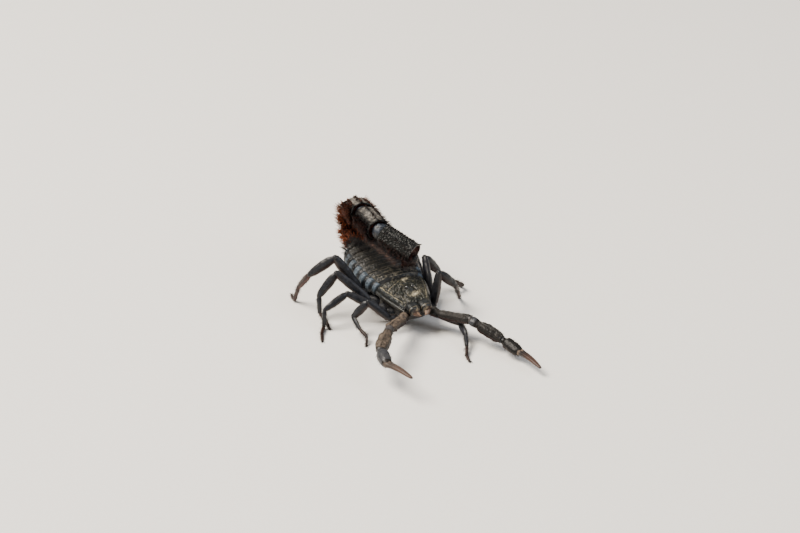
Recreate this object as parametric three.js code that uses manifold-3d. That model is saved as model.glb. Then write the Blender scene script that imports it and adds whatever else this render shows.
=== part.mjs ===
// A thick-tailed scorpion at life size, walking with its tail curled forward over its back.
// Millimetres, +Z up, the animal faces -Y and its left side is +X. The feet stand on Z = 0.

import * as THREE from 'three';
import { mergeVertices } from 'three/addons/utils/BufferGeometryUtils.js';
import Module from 'manifold-3d';

const wasm = await Module();
wasm.setup();

// ---- Driving dimensions ----

const GAP = 0.3; // between neighbouring parts
const SEED = 41; // for the spread of the bristles

const HEAD = {
  length: 13.9, // of the carapace, along the middle
  frontHalf: 4.9, // half width of the front margin
  rearHalf: 9.1,
  frontTop: 10.6, // height of the back above the floor
  rearTop: 13.3,
  frontEdge: 8.2, // height of the side margin
  rearEdge: 9.6,
  notch: 0.7, // hollow in the middle of the front margin
};

const TRUNK = {
  tergites: [2.6, 3.3, 3.8, 4.2, 4.4, 4.4, 4.4], // lengths of the seven back plates
  lip: 0.5, // how far the rear edge of a back plate stands above the next one
  half: [8.9, 10.0, 10.9, 11.3, 11.1, 10.4, 9.1, 6.5], // half width at each plate's front, and at the end
  top: [13.2, 13.9, 14.6, 15.3, 15.8, 16.1, 16.1, 15.4],
  middle: [9.6, 10.0, 10.3, 10.6, 10.9, 11.1, 11.4, 12.0], // height of the widest line
  belly: [7.0, 6.4, 5.4, 5.2, 5.6, 6.3, 7.3, 8.8],
  bow: 1.0, // how far the middle of the body bends to its left
};

const TAIL = {
  root: new THREE.Vector3(0, 42.3, 11.9),
  // length, half width and half height, turn to the left and pitch, measured from straight ahead
  segments: [
    { length: 8.8, half: 3.7, tall: 3.4, turn: 0, pitch: 140 },
    { length: 9.7, half: 3.75, tall: 3.4, turn: -2, pitch: 75 },
    { length: 10.6, half: 3.7, tall: 3.4, turn: -10, pitch: 9 },
    { length: 12.2, half: 3.6, tall: 3.4, turn: -1, pitch: -6 },
    { length: 15.5, half: 3.35, tall: 3.3, turn: 28, pitch: -18.5 },
  ],
  ball: 2.6, // radius of the smooth ball at the front of a segment
  lastBall: 2.95,
  neck: 2.5, // length of the smooth front of the last barrel, where its ball lies bare
  tooth: 1.5, // length of the teeth at the corners of the last barrel's end
};

// Bristles of the tail, barrel by barrel: how many, and their length.
const BRISTLES = {
  counts: [70, 84, 80, 64, 54],
  lengths: [1.5, 1.9, 1.7, 1.3, 1.1],
  thick: 0.54,
};

const STING = {
  drop: 1.5, // of its root below the middle of the last barrel's end
  bulb: 5.0, // length of the venom bulb
  half: 2.3,
  tall: 2.1,
  spur: 3.6, // length of the sting beyond the bulb
  turn: 28,
  pitch: -150,
  curl: 74, // degrees that the sting bends forward again
};

const LEG_SIZES = {
  1: { lengths: [2.8, 9.8, 7.7, 5.0, 4.1, 3.4], girth: 0.94, hip: [5.6, 3.0, 4.9] },
  2: { lengths: [3.0, 11.8, 9.2, 5.8, 4.9, 3.9], girth: 1.0, hip: [7.0, 7.6, 5.3] },
  3: { lengths: [3.4, 14.8, 10.0, 6.0, 5.0, 3.8], girth: 1.06, hip: [8.0, 11.9, 5.4] },
  4: { lengths: [3.8, 14.7, 10.8, 8.8, 7.6, 4.9], girth: 1.14, hip: [8.6, 18.0, 6.1] },
};

// Turns run from straight out (0) towards the rear (+), pitches from level (0) to straight up (90).
// The foot's own pitch follows from its height above the floor.
const LEGS = [
  {
    name: 'right_leg_1',
    side: -1,
    size: 1,
    turns: [8, 24, 30, -92, -98, -60],
    pitches: [2, 43, -50, -28, -14],
  },
  {
    name: 'right_leg_2',
    side: -1,
    size: 2,
    turns: [37, 37, 1, -37, -56, -68],
    pitches: [18, 24, -27, -80, -4],
  },
  {
    name: 'right_leg_3',
    side: -1,
    size: 3,
    turns: [38, 44, 16, -76, -88, -86],
    pitches: [32, 37, -53, -80, -7],
  },
  {
    name: 'right_leg_4',
    side: -1,
    size: 4,
    turns: [46, 31, 29, 75, 89, 103],
    pitches: [38, 55, -37, -49, -62],
  },
  {
    name: 'left_leg_1',
    side: 1,
    size: 1,
    turns: [-59, -62, -105, -116, -119, -101],
    pitches: [-5, -4, -2.6, -19, -18],
  },
  {
    name: 'left_leg_2',
    side: 1,
    size: 2,
    turns: [-38, -12, 5, 49, 53, 55],
    pitches: [-6, 82, -45, -42, -50],
  },
  {
    name: 'left_leg_3',
    side: 1,
    size: 3,
    turns: [-22, 74, 9, -60, 10, 80],
    pitches: [-5, 39, -50, -18, -34],
  },
  {
    name: 'left_leg_4',
    side: 1,
    size: 4,
    turns: [6, 78, 81, 75, 72, 71],
    pitches: [29, 21, -16, -47, -18],
  },
];

const FOOT_HEIGHT = 0.05; // of the middle of a foot's tip, which is cut flat on the floor

// The jaws: the middle line's distance from the body's, half width and height, reach and height.
const JAW = { centre: 2.3, half: 2.05, tall: 1.6, reach: 3.9, height: 9.1 };

const ARM_LENGTHS = [3.9, 12.2, 12.9, 8.7, 11.9]; // trochanter, femur, patella, palm, fingers
const ARM_ROOT = [4.7, 0.5, 6.7];
const ARMS = [
  { name: 'right', side: -1, turns: [-55, -42, -49, -78, -103], pitches: [10, 12, -3, -5, 1] },
  { name: 'left', side: 1, turns: [-62, -62, -63, -78, -87], pitches: [-9, 7.4, -15, -8, 0] },
];

// ---- Finishes ----

const finish = (color, roughness) => ({ color, roughness, metalness: 0 });
const BLACK_PLATE = finish(0x26262a, 0.5);
const BACK_PLATE = finish(0x3a3a3c, 0.55);
const BELLY_SKIN = finish(0x4a4a50, 0.6);
const LEG_SHELL = finish(0x3b3c44, 0.45);
const FOOT_SHELL = finish(0x4a2a24, 0.5);
const FINGER_SHELL = finish(0x4c2620, 0.4);
const EYE_GLOSS = finish(0x0a0a0c, 0.1);

const scorpion = new THREE.Group();

// ---- Solids and meshes ----

const toRadians = THREE.MathUtils.degToRad;

// Six times the volume inside a mesh: negative where its faces point inward.
function signedVolume(geometry) {
  const place = geometry.getAttribute('position');
  const index = geometry.getIndex().array;
  const corner = [new THREE.Vector3(), new THREE.Vector3(), new THREE.Vector3()];
  let sum = 0;
  for (let face = 0; face < index.length; face += 3) {
    corner.forEach((point, i) => point.fromBufferAttribute(place, index[face + i]));
    sum += corner[0].dot(corner[1].cross(corner[2]));
  }
  return sum;
}

// A closed geometry with shared corners and its faces pointing out.
function closed(geometry) {
  const bare = geometry.clone();
  bare.deleteAttribute('normal');
  bare.deleteAttribute('uv');
  const shape = mergeVertices(bare, 1e-4);
  if (signedVolume(shape) < 0) {
    const index = shape.getIndex().array;
    for (let face = 0; face < index.length; face += 3) {
      [index[face], index[face + 1]] = [index[face + 1], index[face]];
    }
  }
  return shape;
}

function solid(geometry) {
  const shape = closed(geometry);
  return new wasm.Manifold(new wasm.Mesh({
    numProp: 3,
    vertProperties: Float32Array.from(shape.getAttribute('position').array),
    triVerts: Uint32Array.from(shape.getIndex().array),
  }));
}

// The largest closed surface of a solid, as a geometry.
function surface(body) {
  const pieces = body.decompose();
  const largest = pieces.reduce((best, piece) => (piece.volume() > best.volume() ? piece : best));
  const mesh = largest.getMesh();
  const geometry = new THREE.BufferGeometry();
  geometry.setAttribute('position', new THREE.BufferAttribute(Float32Array.from(mesh.vertProperties), 3));
  geometry.setIndex(new THREE.BufferAttribute(Uint32Array.from(mesh.triVerts), 1));
  return geometry;
}

function addPart(name, body, look) {
  const geometry = surface(body);
  geometry.computeVertexNormals();
  const mesh = new THREE.Mesh(geometry, new THREE.MeshStandardMaterial(look));
  mesh.name = name;
  scorpion.add(mesh);
}

// A skin over a row of rings, filled at both ends. pointAt(ring, angle) gives each corner.
function loft(rings, sides, pointAt) {
  const shape = new THREE.CylinderGeometry(1, 1, 1, sides, rings - 1);
  const place = shape.getAttribute('position');
  const middles = [];
  for (let ring = 0; ring < rings; ring += 1) {
    const middle = new THREE.Vector3();
    for (let i = 0; i < sides; i += 1) {
      middle.addScaledVector(pointAt(ring, (i / sides) * 2 * Math.PI), 1 / sides);
    }
    middles.push(middle);
  }
  for (let i = 0; i < place.count; i += 1) {
    const across = new THREE.Vector2(place.getX(i), place.getZ(i));
    const ring = Math.round((0.5 - place.getY(i)) * (rings - 1));
    const step = Math.round((across.angle() / (2 * Math.PI)) * sides) % sides;
    const point = across.length() < 0.5 ? middles[ring] : pointAt(ring, (step / sides) * 2 * Math.PI);
    place.setXYZ(i, point.x, point.y, point.z);
  }
  return solid(shape);
}

const power = (value, exponent) => Math.sign(value) * Math.abs(value) ** exponent;

// ---- Chains of links ----

// A unit vector at a turn and pitch, with the outer side of the link as its "up".
function heading(turn, pitch, side) {
  const t = toRadians(turn);
  const p = toRadians(pitch);
  return {
    along: new THREE.Vector3(side * Math.cos(t) * Math.cos(p), Math.sin(t) * Math.cos(p), Math.sin(p)),
    up: new THREE.Vector3(-side * Math.cos(t) * Math.sin(p), -Math.sin(t) * Math.sin(p), Math.cos(p)),
  };
}

// Links end to end from a root, each with its start, end and directions.
function chain(root, side, lengths, turns, pitches) {
  const links = [];
  let start = root.clone();
  lengths.forEach((length, i) => {
    const { along, up } = heading(turns[i], pitches[i], side);
    const end = start.clone().addScaledVector(along, length);
    links.push({ start, end, along, up, length });
    start = end;
  });
  return links;
}

// The plane where two links meet, tilted by a share of the way to the middle of their bend.
function facing(link, other, share) {
  if (!other) {
    return link.along.clone();
  }
  const middle = link.along.clone().add(other.along).normalize();
  return link.along.clone().lerp(middle, share).normalize();
}

// A tapered skin along one or more links, with rings of { on, at, wide, tall, lift }: on is the link
// that carries the ring, at runs from 0 to 1 along it, and lift moves it towards the outer side.
// Each end lies in the plane of its joint, half a gap short of it.
function limb(links, rings, options = {}) {
  const { sides = 8, before, after, share = 1, startInset = 0, endInset = 0, ridge = () => 1 } = options;
  const chained = [before, ...links, after];
  const spans = links.map((link, i) => {
    const isFirst = i === 0;
    const isLast = i === links.length - 1;
    const startPlane = facing(link, chained[i], isFirst ? share : 1);
    const endPlane = facing(link, chained[i + 2], isLast ? share : 1);
    return {
      startPlane,
      endPlane,
      across: new THREE.Vector3().crossVectors(link.along, link.up),
      first: isFirst ? GAP / 2 / startPlane.dot(link.along) + startInset : 0,
      last: link.length - (isLast ? GAP / 2 / endPlane.dot(link.along) + endInset : 0),
    };
  });
  return loft(rings.length, sides, (ring, angle) => {
    const { on = 0, at, wide, tall, lift = 0 } = rings[ring];
    const link = links[on];
    const { startPlane, endPlane, across, first, last } = spans[on];
    const bulge = ridge(angle, at);
    const offset = new THREE.Vector3()
      .addScaledVector(across, Math.cos(angle) * wide * bulge)
      .addScaledVector(link.up, Math.sin(angle) * tall * bulge + lift);
    const slope = (plane) => -plane.dot(offset) / plane.dot(link.along);
    const shear = slope(startPlane) * Math.max(0, 1 - at * 2) ** 4
      + slope(endPlane) * Math.max(0, at * 2 - 1) ** 4;
    return link.start.clone()
      .addScaledVector(link.along, THREE.MathUtils.lerp(first, last, at) + shear)
      .add(offset);
  });
}

function ball(centre, radius, segments = 10) {
  const shape = new THREE.SphereGeometry(radius, segments, Math.round(segments * 0.6));
  shape.translate(centre.x, centre.y, centre.z);
  return solid(shape);
}

// ---- Bristles ----

let seed = SEED;
function random() {
  seed = (seed * 16807) % 2147483647;
  return seed / 2147483647;
}

// A stiff hair: a three-sided spine with its root sunk in the part.
function bristle(root, out, length, thick) {
  const sunk = 0.45;
  const spine = new THREE.ConeGeometry(thick / 2, length + sunk, 3, 1);
  spine.translate(0, (length + sunk) / 2 - sunk, 0);
  spine.rotateY(random() * Math.PI);
  spine.applyQuaternion(new THREE.Quaternion().setFromUnitVectors(new THREE.Vector3(0, 1, 0), out));
  spine.translate(root.x, root.y, root.z);
  return solid(spine);
}

// Whether a point is well on this link's side of the joints at its ends.
function isBetween(point, link, before, after) {
  const margin = 0.5;
  const fromStart = point.clone().sub(link.start).dot(facing(link, before, 1));
  const toEnd = link.end.clone().sub(point).dot(facing(link, after, 1));
  return fromStart > margin && (!after || toEnd > margin);
}

// Bristles spread evenly round a link and along it, each a little out of place and of its own
// length. radiusAt(at) gives the half width and half height of the surface they stand on.
function bristles(link, before, after, count, length, radiusAt) {
  const across = new THREE.Vector3().crossVectors(link.along, link.up);
  const golden = Math.PI * (3 - Math.sqrt(5));
  let coat = null;
  for (let i = 0; i < count; i += 1) {
    const at = 0.1 + 0.82 * ((i + random()) / count);
    const angle = i * golden + (random() - 0.5) * 0.6;
    const [wide, tall] = radiusAt(at);
    const out = new THREE.Vector3()
      .addScaledVector(across, Math.cos(angle))
      .addScaledVector(link.up, Math.sin(angle));
    const root = link.start.clone()
      .addScaledVector(link.along, at * link.length)
      .addScaledVector(across, Math.cos(angle) * wide)
      .addScaledVector(link.up, Math.sin(angle) * tall);
    out.addScaledVector(link.along, 0.3 + 0.7 * random()).normalize();
    const reach = length * (0.7 + 0.6 * random());
    const tip = root.clone().addScaledVector(out, reach);
    if (isBetween(tip, link, before, after) && isBetween(root, link, before, after)) {
      const hair = bristle(root, out, reach, BRISTLES.thick);
      coat = coat ? coat.add(hair) : hair;
    }
  }
  return coat;
}

// ---- Head and trunk ----

const OCULAR = new THREE.Vector3(0.6, 7.0, 12.7);
const EYE_RADIUS = 0.75;

// How far the middle line of the body lies to the left at a distance behind the front margin.
function bow(y) {
  return TRUNK.bow * Math.sin((Math.PI * y) / TAIL.root.y);
}

function headWidth(y) {
  const t = THREE.MathUtils.clamp(y / HEAD.length, 0, 1);
  return THREE.MathUtils.lerp(HEAD.frontHalf, HEAD.rearHalf, Math.sin(t * 1.35) / Math.sin(1.35));
}

function headEdge(y) {
  return THREE.MathUtils.lerp(HEAD.frontEdge, HEAD.rearEdge, y / HEAD.length);
}

// The head shield alone, grown by a margin where it is used to cut its neighbours clear.
function shield(margin = 0) {
  const stations = [0, 0.05, 0.2, 0.4, 0.6, 0.8, 0.95, 1];
  const rise = [0.62, 0.84, 0.95, 1, 1, 1, 0.98, 0.86];
  return loft(stations.length, 20, (ring, angle) => {
    const t = stations[ring];
    const y = t * HEAD.length;
    const wide = headWidth(y);
    const edge = headEdge(y);
    const top = THREE.MathUtils.lerp(HEAD.frontTop, HEAD.rearTop, Math.sin((t * Math.PI) / 2)) - edge;
    const x = power(Math.cos(angle), 0.75);
    const up = Math.sin(angle);
    const z = up > 0 ? (top * rise[ring] + margin) * power(up, 0.7) : (0.9 + margin) * power(up, 0.4);
    const hollow = HEAD.notch * (1 - t) ** 6 * (1 - x ** 2);
    return new THREE.Vector3(bow(y) + (wide + margin) * x, y + hollow + margin * (2 * t - 1), edge + z);
  });
}

function carapace() {
  const tubercle = new THREE.SphereGeometry(1, 10, 6);
  tubercle.scale(1.45, 2.1, 1.0);
  tubercle.translate(OCULAR.x, OCULAR.y, OCULAR.z);
  return shield().add(solid(tubercle));
}

function eyeCentre(side) {
  return OCULAR.clone().add(new THREE.Vector3(side * 0.98, -0.25, 0.5));
}

// The trunk's half width, top, middle and belly heights at a distance behind the carapace.
const plateStarts = [0];
TRUNK.tergites.forEach((length, i) => plateStarts.push(plateStarts[i] + length));
const trunkLength = plateStarts[TRUNK.tergites.length];

function trunkAt(values, distance) {
  const last = TRUNK.tergites.length - 1;
  let plate = plateStarts.findIndex((start, i) => i <= last && distance <= plateStarts[i + 1]);
  plate = plate < 0 ? last : plate;
  const t = (distance - plateStarts[plate]) / TRUNK.tergites[plate];
  return THREE.MathUtils.lerp(values[plate], values[plate + 1], t);
}

function mesosoma() {
  const steps = [0.02, 0.5, 0.93];
  const rings = [];
  TRUNK.tergites.forEach((length, plate) => {
    steps.forEach((step) => rings.push({ plate, step, distance: plateStarts[plate] + length * step }));
  });
  rings.push({ plate: TRUNK.tergites.length - 1, step: 1, distance: trunkLength - 0.05 });
  const front = HEAD.length + GAP;
  return loft(rings.length, 24, (ring, angle) => {
    const { step, distance } = rings[ring];
    const wide = trunkAt(TRUNK.half, distance);
    const middle = trunkAt(TRUNK.middle, distance);
    const up = Math.sin(angle);
    const raised = TRUNK.lip * THREE.MathUtils.smoothstep(step, 0, 0.72) * (step < 0.99 ? 1 : 0);
    const onBack = THREE.MathUtils.smoothstep(up, 0.25, 0.55);
    const onSide = 1 - THREE.MathUtils.smoothstep(Math.abs(up), 0.2, 0.6);
    const swell = 0.55 * Math.sin(Math.PI * step) * onSide;
    const top = trunkAt(TRUNK.top, distance) - middle - TRUNK.lip;
    const bottom = middle - trunkAt(TRUNK.belly, distance);
    const x = (wide - 0.5 + swell + raised * onBack) * power(Math.cos(angle), 0.66);
    const z = up > 0 ? top * power(up, 0.82) + raised * onBack : bottom * power(up, 0.8);
    return new THREE.Vector3(bow(front + distance) + x, front + distance, middle + z);
  });
}

// The fixed first joint of a limb, from the middle of the underside out to where the limb turns.
function coxaLink(start, end) {
  const along = end.clone().sub(start).normalize();
  const up = new THREE.Vector3(0, 0, 1).addScaledVector(along, -along.z).normalize();
  return { start, end, along, up, length: start.distanceTo(end) };
}

function legCoxa(spec) {
  const [x, y, z] = LEG_SIZES[spec.size].hip;
  const start = new THREE.Vector3(spec.side, 4.2 + (y - 3.6) * 0.6, 5.2);
  return coxaLink(start, new THREE.Vector3(spec.side * x, y, z));
}

function armCoxa(spec) {
  const [x, y, z] = ARM_ROOT;
  return coxaLink(new THREE.Vector3(spec.side * 2.2, 3.6, 5.6), new THREE.Vector3(spec.side * x, y, z));
}

// The underside of the head: a core with the first joints of all limbs, grown by a margin where it
// is used to cut the trunk clear.
function underside(margin = 0) {
  let body = loft(4, 14, (ring, angle) => {
    const t = ring / 3;
    const y = 0.4 + t * (HEAD.length - 0.7);
    const wide = headWidth(y) - 1.5;
    const low = 4.6 - 0.5 * Math.sin(Math.PI * t);
    const z = THREE.MathUtils.lerp(low, headEdge(y), (power(Math.sin(angle), 0.6) + 1) / 2);
    return new THREE.Vector3(bow(y) + wide * power(Math.cos(angle), 0.7), y, z);
  });
  LEGS.forEach((spec) => {
    const { girth } = LEG_SIZES[spec.size];
    body = body.add(limb([legCoxa(spec)], [
      { at: 0, wide: 0.9 + margin, tall: 1.0 + margin },
      { at: 0.6, wide: 1.6 * girth + margin, tall: 1.5 + margin },
      { at: 1, wide: 1.1 * girth + margin, tall: 1.1 + margin },
    ], { sides: 7, after: legLinks(spec)[0] }));
  });
  ARMS.forEach((spec) => {
    body = body.add(limb([armCoxa(spec)], [
      { at: 0, wide: 1.3, tall: 1.2 },
      { at: 0.6, wide: 1.9, tall: 1.5 },
      { at: 1, wide: 1.4, tall: 1.3 },
    ], { after: armLinks(spec)[0] }));
  });
  return body.subtract(shield(GAP));
}

// A blunt cone from a root to a tip.
function cone(root, tip, radius, sides = 7) {
  const reach = tip.clone().sub(root);
  const shape = new THREE.ConeGeometry(radius, reach.length(), sides);
  shape.translate(0, reach.length() / 2, 0);
  shape.applyQuaternion(
    new THREE.Quaternion().setFromUnitVectors(new THREE.Vector3(0, 1, 0), reach.normalize()),
  );
  shape.translate(root.x, root.y, root.z);
  return solid(shape);
}

// A short jaw before the carapace: a smooth swollen block whose two fingers turn down and inward.
function chelicera(side) {
  const { centre, half, tall, reach, height } = JAW;
  const block = loft(6, 12, (ring, angle) => {
    const t = ring / 5;
    const wide = half * [0.9, 1, 1, 0.95, 0.8, 0.5][ring];
    const high = tall * [0.95, 1, 1, 0.92, 0.76, 0.45][ring];
    return new THREE.Vector3(
      side * centre + wide * power(Math.cos(angle), 0.85),
      0.8 - reach * Math.sin((t * Math.PI) / 2),
      height - 0.4 * t + high * power(Math.sin(angle), 0.85),
    );
  });
  const finger = (out, root, inner, tip, radius) => cone(
    new THREE.Vector3(side * (centre + out), root, height - 0.5),
    new THREE.Vector3(side * inner, tip, height - 1.5),
    radius,
  );
  return block
    .add(finger(0.45, -1.8, 1.3, -4.2, 0.95))
    .add(finger(-0.6, -2.0, 0.7, -4.1, 0.75))
    .subtract(shield(GAP));
}

// A comb under the belly: a flat bar with a row of blunt teeth along its rear edge.
function pecten(side) {
  const root = new THREE.Vector3(side * 1.3, 16.0, 4.0);
  const link = chain(root, side, [9.0], [38], [-3])[0];
  let comb = limb([link], [
    { at: 0, wide: 0.75, tall: 0.4 },
    { at: 0.3, wide: 0.95, tall: 0.4 },
    { at: 0.8, wide: 0.8, tall: 0.36 },
    { at: 1, wide: 0.5, tall: 0.3 },
  ]);
  const teeth = 10;
  const rear = heading(38 + 90, -8, side);
  for (let i = 0; i < teeth; i += 1) {
    const t = (i + 0.8) / teeth;
    const size = 1.9 - 0.7 * t;
    const tooth = chain(link.start.clone().lerp(link.end, t), side, [size], [38 + 80], [-8])[0];
    comb = comb.add(limb([{ ...tooth, along: rear.along, up: rear.up }], [
      { at: 0, wide: 0.25, tall: 0.25 },
      { at: 1, wide: 0.27, tall: 0.25 },
    ], { sides: 4 }));
  }
  return comb;
}

// ---- Pedipalps ----

function armLinks(arm) {
  const root = new THREE.Vector3(arm.side * ARM_ROOT[0], ARM_ROOT[1], ARM_ROOT[2]);
  return chain(root, arm.side, ARM_LENGTHS, arm.turns, arm.pitches);
}

function pedipalp(arm) {
  const [trochanter, femur, patella, palm, fingers] = armLinks(arm);
  addPart(`${arm.name}_pedipalp_trochanter`, limb([trochanter], [
    { at: 0, wide: 1.2, tall: 1.2 },
    { at: 0.45, wide: 1.75, tall: 1.7 },
    { at: 1, wide: 1.3, tall: 1.3 },
  ], { before: armCoxa(arm), after: femur }).subtract(shield(GAP)), LEG_SHELL);
  addPart(`${arm.name}_pedipalp_femur`, limb([femur], [
    { at: 0, wide: 1.3, tall: 1.25 },
    { at: 0.14, wide: 1.6, tall: 1.5 },
    { at: 0.55, wide: 1.7, tall: 1.5 },
    { at: 0.9, wide: 1.85, tall: 1.55 },
    { at: 1, wide: 1.45, tall: 1.3 },
  ], { before: trochanter, after: patella }), BACK_PLATE);
  // The patella starts as a smooth knuckle and narrows once before its body.
  addPart(`${arm.name}_pedipalp_patella`, limb([patella], [
    { at: 0, wide: 1.2, tall: 1.15 },
    { at: 0.09, wide: 1.6, tall: 1.45 },
    { at: 0.18, wide: 1.6, tall: 1.45 },
    { at: 0.27, wide: 1.4, tall: 1.25 },
    { at: 0.37, wide: 1.9, tall: 1.6 },
    { at: 0.6, wide: 2.15, tall: 1.8 },
    { at: 0.87, wide: 1.95, tall: 1.65 },
    { at: 1, wide: 1.2, tall: 1.15 },
  ], { before: femur, after: palm }), BACK_PLATE);
  const across = new THREE.Vector3().crossVectors(fingers.along, fingers.up);
  const outward = across.multiplyScalar(across.x * arm.side > 0 ? 1 : -1);
  const fingerRings = (size) => [0, 0.25, 0.5, 0.75, 1].map((at) => ({
    at,
    wide: size * (1 - at) ** 0.7 * 0.75 + 0.22,
    tall: size * (1 - at) ** 0.7 * 0.9 + 0.24,
    lift: 0.6 * Math.sin(at * Math.PI),
  }));
  // Both fingers bow apart a little and meet again at their tips.
  const finger = (offset, size) => {
    const start = fingers.start.clone().addScaledVector(outward, offset).addScaledVector(fingers.along, -1.6);
    const end = fingers.end.clone().addScaledVector(outward, Math.sign(offset) * 0.4);
    const along = end.clone().sub(start).normalize();
    const up = fingers.up.clone().addScaledVector(along, -along.dot(fingers.up)).normalize();
    return limb([{ start, end, along, up, length: start.distanceTo(end) }], fingerRings(size));
  };
  const hand = limb([palm], [
    { at: 0, wide: 1.1, tall: 1.05 },
    { at: 0.12, wide: 1.4, tall: 1.35 },
    { at: 0.3, wide: 1.95, tall: 1.9 },
    { at: 0.6, wide: 2.1, tall: 1.95 },
    { at: 0.9, wide: 1.75, tall: 1.6 },
    { at: 1, wide: 1.4, tall: 1.25 },
  ], { before: patella, sides: 10 });
  const movable = finger(0.72, 0.98);
  const room = finger(0.72, 0.98 + GAP * 1.35);
  addPart(`${arm.name}_pedipalp_hand`, hand.add(finger(-0.66, 1.05)).subtract(room), BACK_PLATE);
  addPart(`${arm.name}_movable_finger`, movable, FINGER_SHELL);
}

// ---- Legs ----

function legLinks(leg) {
  const { lengths, hip } = LEG_SIZES[leg.size];
  const root = new THREE.Vector3(leg.side * hip[0], hip[1], hip[2]);
  const upper = chain(root, leg.side, lengths.slice(0, 5), leg.turns, leg.pitches);
  const ankle = upper[4].end;
  const footPitch = -THREE.MathUtils.radToDeg(Math.asin((ankle.z - FOOT_HEIGHT) / lengths[5]));
  return upper.concat(chain(ankle, leg.side, [lengths[5]], [leg.turns[5]], [footPitch]));
}

const floorBlock = new THREE.BoxGeometry(300, 300, 40);
floorBlock.translate(0, 0, -20);
const floor = solid(floorBlock);

function legRing(spec, margin = 0) {
  const { girth } = LEG_SIZES[spec.size];
  return (at, wide, tall, on = 0) => ({ on, at, wide: wide * girth + margin, tall: tall * girth + margin });
}

// A leg's trochanter and femur, grown by a margin where they are used to cut the trunk clear.
function thigh(spec, margin = 0) {
  const [trochanter, femur, patella] = legLinks(spec);
  const ring = legRing(spec, margin);
  return limb([trochanter, femur], [
    ring(0, 0.95, 0.95), ring(0.55, 1.35, 1.3), ring(1, 1.05, 1.0), ring(0.14, 1.15, 1.3, 1),
    ring(0.5, 1.2, 1.5, 1), ring(0.88, 1.1, 1.35, 1), ring(1, 0.7, 0.75, 1),
  ], { before: legCoxa(spec), after: patella });
}

function leg(spec) {
  const [, femur, patella, tibia, basitarsus, telotarsus] = legLinks(spec);
  const ring = legRing(spec);
  addPart(`${spec.name}_femur`, thigh(spec), LEG_SHELL);
  addPart(`${spec.name}_patella`, limb([patella], [
    ring(0, 0.65, 0.7), ring(0.14, 1.05, 1.3), ring(0.45, 1.15, 1.5),
    ring(0.82, 1.0, 1.2), ring(1, 0.6, 0.65),
  ], { before: femur, after: tibia }), LEG_SHELL);
  addPart(`${spec.name}_tibia`, limb([tibia], [
    ring(0, 0.55, 0.6), ring(0.18, 0.8, 1.0), ring(0.8, 0.7, 0.85), ring(1, 0.45, 0.5),
  ], { sides: 7, before: patella, after: basitarsus }), LEG_SHELL);
  let foot = limb([basitarsus, telotarsus], [
    ring(0, 0.5, 0.52), ring(0.35, 0.6, 0.68), ring(1, 0.48, 0.5),
    ring(0.5, 0.5, 0.5, 1), ring(1, 0.36, 0.36, 1),
  ], { sides: 6, before: tibia });
  [-1, 1].forEach((way) => {
    const { along } = telotarsus;
    const level = new THREE.Vector3(along.x, along.y, 0).normalize();
    const out = new THREE.Vector3(-level.y, level.x, 0).multiplyScalar(way * 0.45).add(level).normalize();
    const tip = telotarsus.end.clone().addScaledVector(along, -0.2).setZ(0.2);
    foot = foot.add(bristle(tip, out.setZ(-0.1).normalize(), 1.3, 0.55));
  });
  addPart(`${spec.name}_tarsus`, foot.subtract(floor), FOOT_SHELL);
}

// ---- Tail ----

function tailLinks() {
  const { segments, root } = TAIL;
  return chain(
    root,
    1,
    segments.map((segment) => segment.length),
    segments.map((segment) => segment.turn - 90),
    segments.map((segment) => segment.pitch),
  );
}

const TRUNK_END = { along: new THREE.Vector3(0, 1, 0) };

// The half width and half height of a barrel of the tail, along it.
function barrelSize(i, at) {
  const { half, tall } = TAIL.segments[i];
  const isLast = i === TAIL.segments.length - 1;
  const swell = 0.74 + 0.23 * THREE.MathUtils.smoothstep(at, -0.03, 0.25) + 0.07 * at;
  return [half * swell * (isLast ? 1.04 - 0.1 * at : 1), tall * swell];
}

// A barrel of the tail with a rim at its rear, eight keels and a smooth ball at its front.
function tailBarrel(links, i) {
  const isLast = i === links.length - 1;
  const rings = [0, 0.1, 0.3, 0.6, 0.86, 0.95, 1].map((at) => {
    const [wide, tall] = barrelSize(i, at);
    const rim = at === 1 ? 0.92 : 1;
    return { at, wide: wide * rim, tall: tall * rim };
  });
  return limb([links[i]], rings, {
    sides: 16,
    before: links[i - 1] ?? TRUNK_END,
    after: links[i + 1],
    share: isLast ? 0 : 0.62,
    startInset: [0.2, 1.5, 1.5, 1.5, TAIL.neck][i],
    endInset: [0.75, 0.75, 0.75, 0, 0.3][i],
    ridge: (angle) => 1 + 0.05 * Math.cos(angle * 8),
  });
}

// The ball at the front of a barrel: the last one is larger and stands further out of its joint.
function frontBall(links, i, margin = 0) {
  const isLast = i === links.length - 1;
  const centre = links[i].start.clone().addScaledVector(links[i].along, isLast ? 1.1 : 0.4);
  return ball(centre, (isLast ? TAIL.lastBall : TAIL.ball) + margin);
}

// Four teeth round the far end of the last barrel.
function endTeeth(link) {
  const across = new THREE.Vector3().crossVectors(link.along, link.up);
  const [wide, tall] = barrelSize(4, 0.95);
  return [40, 140, 220, 320].map((degrees) => {
    const out = new THREE.Vector3()
      .addScaledVector(across, Math.cos(toRadians(degrees)) * wide * 0.9)
      .addScaledVector(link.up, Math.sin(toRadians(degrees)) * tall * 0.9);
    const root = link.end.clone().addScaledVector(link.along, -1.0).add(out);
    return bristle(root, out.normalize().addScaledVector(link.along, 0.9).normalize(), TAIL.tooth, 1.3);
  }).reduce((teeth, tooth) => teeth.add(tooth));
}

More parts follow.
